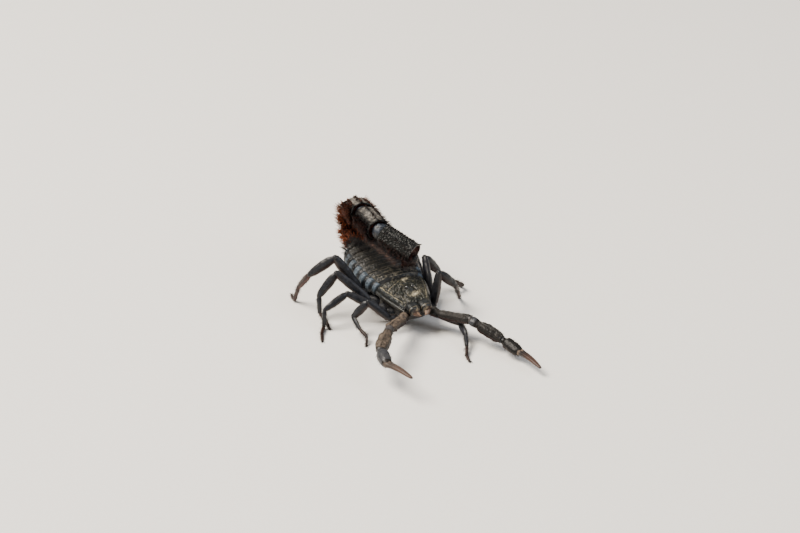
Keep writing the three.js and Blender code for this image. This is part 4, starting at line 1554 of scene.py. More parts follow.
@dataclass
class Trunk:
    """The back plates, the folded side membrane and the belly plates."""

    plate_depth: float = 0.4
    belly_depth: float = 0.3
    side_angle: float = 0.8
    belly_angle: float = 0.42

    def build(self) -> None:
        """Makes and dresses all pieces of the trunk."""
        self.core()
        for index in range(len(TERGITES)):
            self.back_plate(index)
        for index in range(STERNITES):
            self.belly_plate(index)

    def core(self) -> None:
        """Makes the soft body inside the plates, bulging in a fold beside each plate."""
        last = TRUNK_END - 0.1
        distance = down([0.0, 0.0], np.linspace(0, last, 150), [last, last])
        shrink = down([0.0, 0.8], np.ones(150), [0.8, 0.0])
        angle = np.linspace(0, TURN, 141)
        _, step = plate_at(distance)
        up = np.sin(angle)
        on_side = 1 - smooth(np.abs(up - 0.15), 0.4, 0.75)
        fold = np.sin(np.pi * np.clip(step, 0, 1)) ** 0.4
        pleat = np.cos(6 * np.pi * step)
        bulge = 1.2 * fold - 0.38 + 0.05 * np.sin(angle * 46) + 0.11 * pleat
        points = trunk_point(distance, angle, bulge * on_side - 0.42)
        points = towards(points.mean(axis=1, keepdims=True), points, shrink)
        # Painted shade darkens the creases between the folds, and the membrane grows darker towards
        # the rear; the light mask is a painted highlight on the upward crests.
        crease = 1 - fold + 0.4 * smooth(-pleat, 0.1, 0.9) + 0.85 * smooth(distance, 9, 22)
        light = smooth(fold, 0.75, 1.0) * smooth(up, -0.2, 0.3)
        marks = {"Edge": 1.2 * crease * on_side, "Dust": 0.55 * light * on_side}
        piece = loft("side_membrane", points, marks, 80)
        dress(piece, Finish.MEMBRANE, "belly_skin", "mesosoma")

    def back_plate(self, index: int) -> None:
        """Makes one back plate, tucked under the plate before it and standing proud at its rear.

        Args:
            index: 0 for the plate next to the head.
        """
        start, end = PLATE_STARTS[index : index + 2]
        step = np.linspace(-0.14, 1.04, max(26, int((end - start) * 9)))[:, None]
        angle = np.linspace(np.pi - self.side_angle, self.side_angle, 190)
        across = np.cos(angle)
        distance = np.clip(start + step * (end - start), 0, TRUNK_END - 0.02)
        lift = LIP * smooth(step, -0.1, 0.72) * (1 - 0.25 * smooth(step, 0.96, 1.04))
        plain = trunk_point(distance, angle, lift)
        out = unit(spread(across, 0.0, np.sin(angle) + 0.4))
        band = smooth(step, 0.12, 0.2)
        keel = bell(across, 0.035) * smooth(step, 0.3, 0.7)
        bumps = 0.14 * grains(plain, 0.5, 31 + index) + 0.12 * grains(plain, 0.95, 51 + index)
        wave = np.mod(distance / 1.4 + 0.16 * (mottle(plain, 2.4, 41) - 0.5), 1.0)
        fold = wave**3 * (1 - smooth(wave, 0.9, 1.0))
        ripple = 0.5 * fold * (0.6 + 0.4 * mottle(plain, 3.0, 4)) * smooth(step, 0.95, 0.85)
        row = bell(step - 0.97, 0.035) * (0.1 + 0.14 * grains(plain, 0.5, 71))
        height = band * (bumps * (0.4 + 0.6 * smooth(step, 0.2, 0.9)) + ripple) + row + 0.14 * keel
        points = plain + scaled(out, height)
        y = TRUNK_FRONT + distance
        # A pinkish strip along the back beside the tail: sand dust, partly painted sunlight falling
        # between the tail and its shadow.
        strip = through(y, (18, 23, 39), (2.9, 2.6, 0.8))
        sunlit_sand_strip = bell(points[:, :, 0] - strip, 1.1) * smooth(y, 18, 22)
        rim = bell(step - 0.99, 0.035)
        specks = smooth(mottle(points, 0.6, 7), 0.55, 0.8)
        ahead = smooth(y, 24, 15)
        crests = smooth(fold, 0.5, 0.72) * band * smooth(mottle(points, 1.6, 6), 0.2, 0.5)
        dusty_rim = (0.25 + 0.6 * ahead) * smooth(mottle(points, 1.2, 43), 0.3, 0.6)
        dust = (
            rim * (dusty_rim + 0.7 * smooth(across, 0.8, 0.93))
            + 0.8 * crests * (0.3 + 0.7 * ahead) + 0.2 * specks * (0.2 + 0.8 * ahead)
        )
        marks = {
            # Painted shade: dark on the front of each plate, tucked under the plate before it, and
            # in the troughs of its ripples.
            "Edge": 0.95 * (smooth(step, 0.2, 0.08) + 0.9 * smooth(wave, 0.35, 0.05) * band),
            "Dust": dust,
            "Red": 0.9 * sunlit_sand_strip * (0.4 + 0.6 * specks),
        }
        piece = thicken(lay_grid(f"back_plate_{index + 1}", points, marks), self.plate_depth)
        dress(piece, Finish.BACK, "back_plate", "mesosoma")

    def belly_plate(self, index: int) -> None:
        """Makes one smooth belly plate with its two slit-shaped breathing holes.

        Args:
            index: 0 for the foremost plate.
        """
        start, end = PLATE_STARTS[index + 2 : index + 4]
        step = np.linspace(-0.1, 1.03, 30)[:, None]
        angle = np.linspace(np.pi + self.belly_angle, TURN - self.belly_angle, 90)
        distance = np.clip(start + step * (end - start), 0, TRUNK_END - 0.02)
        points = trunk_point(distance, angle, 0.32 * smooth(step, -0.05, 0.7))
        slit = bell(np.abs(np.cos(angle)) - 0.52, 0.09) * bell(step - 0.55, 0.08)
        points[:, :, 2] += 0.22 * slit
        marks = {"Edge": slit + smooth(step, 0.08, 0.0)}
        piece = thicken(lay_grid(f"belly_plate_{index + 1}", points, marks), self.belly_depth)
        dress(piece, Finish.BELLY, "belly_skin", "mesosoma")


# ---- Underside and combs ----


def leg_side(name: str) -> tuple[int, int]:
    """The side, 1 for left and -1 for right, and the number of a leg."""
    return SIDES[name.split("_")[0]], int(name[-1])


def leg_links(name: str) -> list[Link]:
    """The six links of a leg, the last one reaching down to the floor.

    Args:
        name: the leg's name.

    Returns:
        The links, from hip to foot.
    """
    side, number = leg_side(name)
    lengths, _, hip = LEG_SIZES[number]
    turns, pitches = LEG_POSES[name]
    upper = chain((side * hip[0], hip[1], hip[2]), side, lengths[:5], turns[:5], pitches)
    ankle = upper[-1].end
    drop = -math.degrees(math.asin((ankle[2] - FOOT_HEIGHT) / lengths[5]))
    return upper + chain(ankle, side, [lengths[5]], [turns[5]], [drop])


@dataclass
class Underside:
    """The underside of the head: its core, the first joints of all limbs, breastbone and combs."""

    node: str = "prosoma_underside"
    comb_teeth: int = 26

    def build(self) -> None:
        """Makes and dresses the underside."""
        run = down([0.0], np.linspace(0, 1, 40), [1.0])
        shrink = down([0.0], np.ones(40), [0.0])
        y = 0.4 + run * (HEAD_LENGTH - 0.7)
        angle = np.linspace(0, TURN, 81)
        low = 4.6 - 0.5 * np.sin(np.pi * run)
        lift = (power(np.sin(angle), 0.6) + 1) / 2
        x = bow(y) + (head_width(y) - 1.3) * power(np.cos(angle), 0.7)
        points = spread(x, y, low + (head_edge(y) - low) * lift)
        points = towards(points.mean(axis=1, keepdims=True), points, shrink)
        dress(loft("head_core", points, angle=70), Finish.BELLY, "belly_skin", self.node)
        coxae = [self.leg_coxa(name).build() for name in LEG_POSES]
        dress(joined("leg_coxae", coxae), Finish.LEG, "leg_shell", self.node)
        arms = [self.arm_coxa(side).build() for side in SIDES.values()]
        dress(joined("arm_coxae", arms), Finish.ARM, "back_plate", self.node)
        rings = ((0, 0.5, 0.4), (0.5, 1.1, 0.5), (1, 1.3, 0.5))
        plate = Limb("breastbone", straight((0.6, 8.2, 4.3), (0.9, 12.2, 4.3)), rings, spacing=0.3)
        dress(plate.build(), Finish.BELLY, "belly_skin", self.node)
        for word, side in SIDES.items():
            self.comb(side, word)

    def leg_coxa(self, name: str) -> Limb:
        """The fixed first joint of a leg, under the head.

        Args:
            name: the leg's name.

        Returns:
            Its form.
        """
        side, number = leg_side(name)
        _, girth, (x, y, z) = LEG_SIZES[number]
        link = straight((side, 4.2 + (y - 3.6) * 0.6, 5.2), (side * x, y, z))
        rings = (
            (0, 0.9, 1.0), (0.3, 1.35 * girth, 1.4), (0.65, 1.65 * girth, 1.55),
            (1, 1.25 * girth, 1.25),
        )
        return Limb(f"{name}_coxa", link, rings, section=Section.BLADE, grain=0.06, spacing=0.3)

    def arm_coxa(self, side: int) -> Limb:
        """The fixed first joint of a pincer arm.

        Args:
            side: 1 for the animal's left, -1 for its right.

        Returns:
            Its form.
        """
        x, y, z = ARM_ROOT
        link = straight((side * 2.2, 3.6, 5.6), (side * x, y, z))
        rings = ((0, 1.3, 1.2), (0.6, 1.9, 1.5), (1, 1.4, 1.3))
        return Limb(
            f"arm_coxa_{side}", link, rings, section=Section.BLADE, grain=0.08, spacing=0.3
        )

    def comb(self, side: int, word: str) -> None:
        """Makes one comb: a jointed shaft with a row of blunt teeth along its rear edge.

        Args:
            side: 1 for the animal's left, -1 for its right.
            word: the same side in words.
        """
        link = chain((side * 1.3, 16.0, 4.0), side, [9.0], [38], [-3])[0]
        rings = ((0, 0.7, 0.4), (0.3, 0.9, 0.42), (0.8, 0.72, 0.36), (1, 0.4, 0.3))
        pieces = [Limb(
            f"comb_{word}_shaft", link, rings, spacing=0.2, sides=24, grain=0.05, grain_size=0.7
        ).build()]
        rear, _ = heading(128, -8, side)
        for t in (np.arange(self.comb_teeth) + 0.7) / self.comb_teeth:
            start = link.axis(t) + rear * 0.3
            tip = start + rear * (1.9 - 0.7 * t) + link.along * 0.12
            pieces.append(Tooth.BLUNT.place(f"comb_{word}_tooth", start, tip, 0.165))
        dress(joined(f"comb_{word}", pieces), Finish.COMB, "belly_skin", f"pecten_{word}")


# ---- Pincer arms ----


@dataclass
class PincerArm:
    """A pedipalp: trochanter, femur, patella, hand and two fingers."""

    word: str

    @property
    def side(self) -> int:
        """1 for the left arm, -1 for the right one."""
        return SIDES[self.word]

    def links(self) -> list[Link]:
        """The five links of the arm."""
        root = (self.side * ARM_ROOT[0], *ARM_ROOT[1:])
        return chain(root, self.side, ARM_LENGTHS, *ARM_POSES[self.word])

    def limbs(self) -> list[tuple[Limb, str]]:
        """The arm's segments with their CAD nodes.

        Returns:
            The segments in order.
        """
        dust = ARM_DUST[self.word]
        forms = (
            ("trochanter", "trochanter", Section.BLADE,
             ((0, 1.2, 1.2), (0.45, 1.75, 1.7), (1, 1.35, 1.35)),
             {"grain": 0.2, "sides": 72, "dust": dust, "rim": 0.08, "lumps": 0.2}),
            ("femur", "femur", Section.KEELED,
             ((0, 1.15, 1.1), (0.06, 1.45, 1.4), (0.14, 1.6, 1.5), (0.55, 1.7, 1.5),
              (0.9, 1.85, 1.55), (1, 1.5, 1.35)),
             {"grain": 0.19, "beads": 0.5, "sides": 100, "dust": dust, "rim": 0.14,
              "lumps": 0.15}),
            ("patella", "patella", Section.KEELED,
             ((0, 1.1, 1.05), (0.07, 1.55, 1.42), (0.17, 1.6, 1.45), (0.27, 1.3, 1.2),
              (0.36, 1.85, 1.6), (0.6, 2.15, 1.8), (0.87, 1.95, 1.65), (1, 1.3, 1.25)),
             {"grain": 0.16, "beads": 0.45, "sides": 110, "dust": 0.7 * dust, "bare": 0.2,
              "rim": 0.14, "lumps": 0.18}),
            ("palm", "hand", Section.HAND,
             ((0, 1.0, 0.95), (0.1, 1.25, 1.2), (0.16, 1.2, 1.15), (0.3, 1.95, 1.9),
              (0.6, 2.1, 1.95), (0.9, 1.75, 1.6), (1, 1.4, 1.25)),
             {"grain": 0.07, "beads": 0.2, "sides": 96, "dust": 0.18 * dust,
              "bare": 0.06 + dust, "rim": 0.05, "lumps": 0.14}),
        )
        name = f"{self.word}_pedipalp"
        return [
            (Limb(f"{name}_{part}_shell", link, rings, section, spacing=0.15, **values),
             f"{name}_{node}")
            for link, (part, node, section, rings, values) in zip(self.links(), forms)
        ]

    def finger(self, offset: float, size: float, name: str) -> Piece:
        """Makes one finger, bowed away from the other, with its row of small teeth.

        Args:
            offset: how far its root lies to the outer side.
            size: its thickness at the root.
            name: the piece's name.

        Returns:
            The finger's mesh.
        """
        link = self.links()[4]
        outward = link.across * (1 if link.across[0] * self.side > 0 else -1)
        start = link.start + outward * offset - link.along * 1.6
        end = link.end + outward * math.copysign(0.17, offset)
        s = np.linspace(0, 1, 80)
        path = start + scaled(end - start, s) + scaled(link.up, 0.6 * np.sin(s * np.pi))
        knob = bell(s - 0.15, 0.05)
        radii = (size * 0.4 * (1 - s) ** 0.8 + 0.45) * np.sqrt(np.clip(1 - s**12, 0, 1))
        radii *= np.minimum(1, np.sqrt(s * 14)) * (1 + 0.14 * knob)
        # A pale spot on each finger's knob, strong on the left arm and faint on the right.
        pale = 0.75 if self.side > 0 else 0.15
        pieces = [ring_tube(name, path, radii, 30, {
            "Red": smooth(s, 0.22, 0.6),
            "Dust": pale * knob + 0.2 * ARM_DUST[self.word],
            "Edge": smooth(s, 0.12, 0.03) + 0.7 * smooth(s, 0.93, 1.0),
        })]
        inward = -outward * np.sign(offset)
        for i in range(22, 76, 2):
            root = path[i] + inward * radii[i] * 0.9
            tip = root + inward * (0.15 if i % 8 else 0.24)
            pieces.append(Tooth.SHARP.place(f"{name}_tooth", root - inward * 0.1, tip, 0.12))
        return joined(name, pieces)

    def build(self) -> None:
        """Makes and dresses the arm."""
        for limb, node in self.limbs():
            dress(limb.build(), Finish.ARM, "back_plate", node)
        for kind, offset, size, node in (
            ("fixed", -0.56, 1.05, "pedipalp_hand"), ("movable", 0.6, 0.98, "movable_finger")
        ):
            piece = self.finger(offset, size, f"{self.word}_{kind}_finger_shell")
            dress(piece, Finish.FINGER, "finger_shell", f"{self.word}_{node}")
        balls = [
            sphere(f"{self.word}_arm_knuckle", link.start, radius)
            for link, radius in zip(self.links()[1:4], (1.3, 1.5, 1.2))
        ]
        piece = joined(f"{self.word}_arm_knuckles", balls)
        dress(piece, Finish.KNUCKLE, "back_plate", f"{self.word}_pedipalp_patella")


# ---- Legs ----


@dataclass
class Leg:
    """A walking leg: trochanter, femur, patella, tibia, two foot joints, spurs and claws."""

    name: str

    @property
    def girth(self) -> float:
        """How thick the leg is against those of the second pair."""
        return LEG_SIZES[leg_side(self.name)[1]][1]

    def limbs(self) -> list[tuple[Limb, Finish, str, str]]:
        """The leg's segments with their finishes, CAD nodes and slots.

        Returns:
            The segments in order.
        """
        low = Finish.FOOT if self.name.endswith("_4") else Finish.LEG
        blade = {"section": Section.BLADE}
        forms = (
            ("trochanter", Finish.LEG, "femur", {**blade, "rim": 0.05},
             ((0, 0.9, 0.9), (0.5, 1.35, 1.3), (1, 1.1, 1.1))),
            ("femur", Finish.LEG, "femur",
             {**blade, "grain": 0.05, "sides": 48, "beads": 0.45, "rim": 0.1, "red": 0.7},
             ((0, 0.8, 0.9), (0.1, 1.08, 1.25), (0.5, 1.2, 1.5), (0.88, 1.12, 1.38),
              (1, 0.9, 1.0))),
            ("patella", Finish.LEG, "patella",
             {**blade, "grain": 0.04, "sides": 48, "rim": 0.08, "red": 0.7},
             ((0, 0.62, 0.68), (0.06, 0.8, 0.95), (0.16, 1.05, 1.3), (0.45, 1.15, 1.5),
              (0.85, 1.0, 1.2), (1, 0.78, 0.85))),
            ("tibia", low, "tibia", {**blade, "rim": 0.07, "red": 0.8},
             ((0, 0.48, 0.52), (0.06, 0.6, 0.7), (0.18, 0.8, 1.0), (0.8, 0.7, 0.85),
              (1, 0.58, 0.64))),
            ("basitarsus", Finish.FOOT, "tarsus", {"sides": 32, "rim": 0.06},
             ((0, 0.42, 0.44), (0.08, 0.54, 0.58), (0.35, 0.6, 0.68), (0.9, 0.55, 0.58),
              (1, 0.5, 0.52))),
            ("telotarsus", Finish.FOOT, "tarsus", {"sides": 32, "caps": (0.5, 0.9)},
             ((0, 0.38, 0.4), (0.1, 0.46, 0.48), (0.5, 0.5, 0.5), (1, 0.34, 0.34))),
        )
        limbs = []
        for link, (part, finish, node, values, rings) in zip(leg_links(self.name), forms):
            grown = [(at, wide * self.girth, tall * self.girth) for at, wide, tall in rings]
            limb = Limb(f"{self.name}_{part}_shell", link, grown, **values)
            slot = "foot_shell" if node == "tarsus" else "leg_shell"
            limbs.append((limb, finish, f"{self.name}_{node}", slot))
        return limbs

    def build(self) -> None:
        """Makes and dresses the leg."""
        for limb, finish, node, slot in self.limbs():
            piece = limb.build()
            if slot == "foot_shell":
                self.stand(piece)
            dress(piece, finish, slot, node)
        links = leg_links(self.name)
        balls = [
            sphere(f"{self.name}_knuckle", link.start, radius * self.girth)
            for link, radius in zip(links[1:5], (0.95, 0.86, 0.72, 0.5))
        ]
        knuckles = joined(f"{self.name}_knuckles", balls)
        dress(knuckles, Finish.LEG, "leg_shell", f"{self.name}_patella")
        piece = joined(f"{self.name}_claws", self.claws(links[5]))
        paint(piece, "Edge", 0.7)
        self.stand(piece)
        dress(piece, Finish.FINGER, "finger_shell", f"{self.name}_tarsus")

    def claws(self, foot: Link) -> list[Piece]:
        """Makes the two curved claws at the end of the foot and the two spurs at its heel.

        Args:
            foot: the last link of the leg.

        Returns:
            The claws and spurs.
        """
        claws = []
        level = unit(foot.along * np.array([1.0, 1.0, 0.0]))
        s = np.linspace(0, 1, 9)
        radii = 0.2 * np.sqrt(np.clip(1 - s, 0, 1)) * (s > 0)
        for way in (-1, 1):
            out = unit(level + np.array([-level[1], level[0], 0.0]) * way * 0.42)
            start = foot.end - foot.along * 0.35
            start[2] = max(start[2], 0.3)
            path = start + scaled(out, s * 1.5)
            path[:, 2] = start[2] + 0.32 * np.sin(s * np.pi * 0.8) - s * (start[2] - 0.12)
            claws.append(ring_tube(f"{self.name}_claw", path, radii, 10))
        heel = foot.start - foot.up * 0.3
        for way in (-1, 1):
            tip = heel + foot.across * way * 0.55 + foot.along * 0.5
            tip[2] = max(tip[2], 0.1)
            claws.append(Tooth.SHARP.place(f"{self.name}_spur", heel, tip, 0.17))
        return claws

    def stand(self, piece: Piece) -> None:
        """Presses the corners that would lie under the floor up to it.

        Args:
            piece: the mesh to press.
        """
        for corner in piece.data.vertices:
            corner.co.z = max(corner.co.z, 0.0)
        piece.data.update()


# ---- Tail ----

# For each barrel: the narrowness of its neck, how far inside the ends of its link its skin starts
# and ends, in millimetres, and how much it rounds in at its start.
BARREL_FORMS = (
    (0.78, 0.3, 0.45, 0.34),
    (0.8, 0.9, 0.45, 0.3),
    (0.82, 0.9, -0.5, 0.3),
    (0.93, 1.0, 0.05, 0.08),
    (0.9, 2.0, 0.2, 0.16),
)
LAST_BARREL = 4


def tail_links() -> list[Link]:
    """The five links of the tail."""
    lengths, _, _, turns, pitches = zip(*TAIL)
    return chain(TAIL_ROOT, 1, lengths, [turn - 90 for turn in turns], pitches)


@dataclass
class Barrel:
    """A barrel of the tail: keels of dark beads, flat facets worn and painted lighter outside, a
    rear collar and a smooth ball.

    Attributes:
        index: 0 for the barrel at the trunk, 4 for the one that carries the sting.
        keels: how many keels run along it.
        sides: corners round it.
        spacing: distance between its rows, in millimetres.
    """

    index: int
    keels: int = 8
    sides: int = 168
    spacing: float = 0.13

    @property
    def name(self) -> str:
        """The barrel's CAD node."""
        return f"metasoma_{self.index + 1}"

    @property
    def is_last(self) -> bool:
        """Whether this barrel carries the sting."""
        return self.index == LAST_BARREL

    def limb(self) -> Limb:
        """The barrel's plain form.

        Returns:
            Its form.
        """
        _, half, tall, _, _ = TAIL[self.index]
        neck = BARREL_FORMS[self.index][0]
        taper = 0.1 if self.is_last else 0.0
        rows = []
        for at in (0.0, 0.1, 0.3, 0.6, 0.9, 1.0):
            swell = neck + (0.98 - neck) * float(smooth(at, -0.03, 0.25)) + 0.06 * at
            rows.append((at, half * swell * (1 + taper * (0.4 - at)), tall * swell))
        return Limb(self.name, tail_links()[self.index], rows)

    def build(self) -> None:
        """Makes and dresses the barrel and its ball."""
        limb = self.limb()
        link, length = limb.link, limb.link.length
        _, head, foot, tuck = BARREL_FORMS[self.index]
        first, last = head / length, 1 - foot / length
        flat, high, size = (0.35, 0.24, 0.62) if self.is_last else (0.7, 0.3, 0.5)
        rim_dark, far = (0.12, 1.02) if self.index == 2 else (0.8, 0.96)
        rows = int((last - first) * length / self.spacing)
        end = last - np.array([0.0, 0.35, 1.0, 1.25]) / length
        at = down([first + 0.03, first + 0.01], np.linspace(first, last, rows), end)
        shrink = down([0.0, 0.6], np.ones(rows), [0.9, 0.82, 0.72, 0.0])
        short = 1 - np.clip((at[2:-4] - first) * length / 1.1, 0, 1)
        shrink[2:-4] *= 1 - tuck + tuck * np.sqrt(np.clip(1 - short**2, 0, 1))
        wide, tall = limb.size_at(at)
        angle = np.linspace(0, TURN, self.sides + 1)
        up = np.sin(angle)
        away = off_keel(angle, self.keels)
        keel = bell(away, 0.11)
        left = (last - at) * length
        collar, dip = bell(left - 0.35, 0.32), bell(left - 1.0, 0.3)
        beads = 0.3 + 0.7 * np.abs(np.sin(np.pi * at * length / 0.66))
        inner = smooth(at, first, first + 1.2 / length) * (shrink > 0.95)
        round_off = 1 - flat * (1 - 0.75 * collar)
        outline = round_off + (1 - round_off) * facets(away, self.keels)
        offset = link.around(angle, wide, tall)
        plain = link.axis(at) + scaled(offset, shrink * outline * 1.02)
        scatter = grains(plain, size, 80 + self.index)
        rough = 0.34 if self.is_last else 0.13 * (0.3 + 0.7 * smooth(up, 0.5, -0.3))
        swell = 0.2 * (mottle(plain, 1.9, 97) - 0.5)
        height = (
            high * (1 - 0.6 * collar) * inner * keel * beads
            + 0.16 * grains(plain, 0.42, 95) * collar
            + inner * (rough * scatter + 0.05 * collar - 0.08 * dip + swell)
        )
        points = plain + scaled(unit(offset), height)
        cup = 1.0 * (np.arange(len(at)) >= len(at) - 3)[:, None]
        start = smooth(at, first + 0.7 / length, first) * (1 - cup)
        edge = np.clip(keel * inner + rim_dark * (collar + dip) + start, 0, 1)
        # Pale outer facets: worn smooth chitin, with painted light on the facets that turn outward;
        # on the last barrel, painted highlights on the grain tops.
        worn_and_lit = (1 - keel) * smooth(up, 0.68, 0.8) * inner * (1 - rim_dark * collar)
        if self.is_last:
            worn_and_lit = 0.22 * worn_and_lit * smooth(scatter, 0.35, 0.75)
        else:
            patch = smooth(mottle(points, 1.3, 60 + self.index), 0.25, 0.6)
            middle = smooth(at, 0.1, 0.22) * smooth(at, far, far - 0.06)
            seam = bell(away - np.pi / self.keels, 0.03)
            cracks = np.maximum(veins(points, 1.4, 0.16, 66), seam)
            worn_and_lit = 0.95 * worn_and_lit * (0.4 + 0.6 * patch) * middle * (1 - 0.8 * cracks)
        # Painted reflected light: red-brown on the grain tops of the inner side, as if lit from the
        # sand.
        below = 0.6 * smooth(up, -0.1, -0.8) * smooth(scatter, 0.2, 0.7)
        shell = loft(f"tail_barrel_{self.index + 1}", points, {
            "Edge": edge * (1 - 0.9 * cup),
            "Dust": worn_and_lit * (1 - cup),
            "Red": np.maximum(0.9 * cup, below),
        }, 60)
        dress(shell, Finish.LAST if self.is_last else Finish.TAIL, "tail_plate", self.name)
        if self.index:
            self.ball(link)
        if self.is_last:
            self.end_teeth(limb)

    def ball(self, link: Link) -> None:
        """Makes the smooth ball in the front of the barrel, with a saddle across its middle.

        Args:
            link: the barrel's line.
        """
        radius, reach = (LAST_BALL, 1.1) if self.is_last else (TAIL_BALL, 0.4)
        centre = link.start + link.along * reach
        v = np.linspace(0, np.pi, 61)[:, None]
        angle = np.linspace(0, TURN, 97)
        up = np.sin(angle)
        saddle = v - 1.25
        swell = 1 - 0.07 * bell(saddle, 0.16) * smooth(up, 0.1, 0.8)
        way = link.around(angle, np.sin(v), np.sin(v)) - scaled(link.along, np.cos(v))
        points = centre + scaled(way, radius * swell)
        # Painted shade in the saddle and the wrinkles, and painted highlights as pale patches on
        # the outer side.
        shade = smooth(np.abs(saddle), 0.25, 0.12) * smooth(up, 0.0, 0.5)
        wrinkle = veins(points, 1.9, 0.14, 58) * smooth(np.sin(v), 0.3, 0.7)
        points = towards(centre, points, 1 - 0.05 * wrinkle)
        pale = smooth(mottle(points, 1.2, 59), 0.45, 0.75) * smooth(up, 0.0, 0.7)
        marks = {"Edge": 0.5 * shade + 0.7 * wrinkle, "Dust": 0.5 * pale * (1 - wrinkle)}
        piece = loft(f"tail_ball_{self.index + 1}", points, marks, 80)
        dress(piece, Finish.BALL, "tail_plate", self.name)

    def end_teeth(self, limb: Limb) -> None:
        """Makes the teeth round the far end of the last barrel.

        Args:
            limb: the barrel's plain form.
        """
        link = limb.link
        wide, tall = limb.size_at(0.95)
        teeth = []
        for degrees, size in (
            (40, 1.5), (140, 1.5), (220, 1.3), (320, 1.3),
            (10, 0.7), (65, 0.8), (90, 0.7), (115, 0.8), (170, 0.7),
        ):
            out = link.around(math.radians(degrees), wide * 0.93, tall * 0.93)
            root = link.end - link.along + out
            way = unit(unit(out) + link.along * 0.9)
            radius = 0.5 if size > 1 else 0.3
            start, tip = root - way * 0.4, root + way * size
            teeth.append(Tooth.SHARP.place("end_tooth", start, tip, radius))
        dress(joined("tail_end_teeth", teeth), Finish.TAIL, "tail_plate", self.name)


@dataclass
class Sting:
    """The telson: a grainy venom bulb and a smooth curved sting."""

    steps: int = 24

    def bulb(self) -> Limb:
        """The bulb's form.

        Returns:
            Its form.
        """
        last = tail_links()[LAST_BARREL]
        root = last.end + last.along * 0.8 - last.up * STING_DROP
        link = chain(root, 1, [5.0], [STING_TURN - 90], [STING_PITCH])[0]
        rings = (
            (0, 1.1, 1.1), (0.15, 1.8, 1.7), (0.45, 2.3, 2.1), (0.75, 1.95, 1.8), (1, 0.95, 0.95),
        )
        return Limb("venom_bulb", link, rings, grain=0.12, grain_size=0.6, sides=72, spacing=0.14)

    def build(self) -> None:
        """Makes and dresses the telson."""
        bulb = self.bulb()
        s = np.linspace(0, 1, self.steps + 1)
        path = [bulb.link.end - bulb.link.along * 0.8]
        for share in s[1:]:
            along, _ = heading(STING_TURN - 90, STING_PITCH + STING_CURL * share, 1)
            path.append(path[-1] + along * (STING_REACH / self.steps))
        radii = (0.98 * (1 - s) ** 0.85 + 0.03) * (s > 0) * (s < 1)
        marks = {"Edge": smooth(s, 0.3, 0.8), "Red": smooth(s, 0.6, 0.1)}
        pieces = [bulb.build(), ring_tube("sting_point", np.array(path), radii, 20, marks)]
        dress(joined("venom_bulb_and_sting", pieces), Finish.BULB, "finger_shell", "telson")


# ---- Coats ----


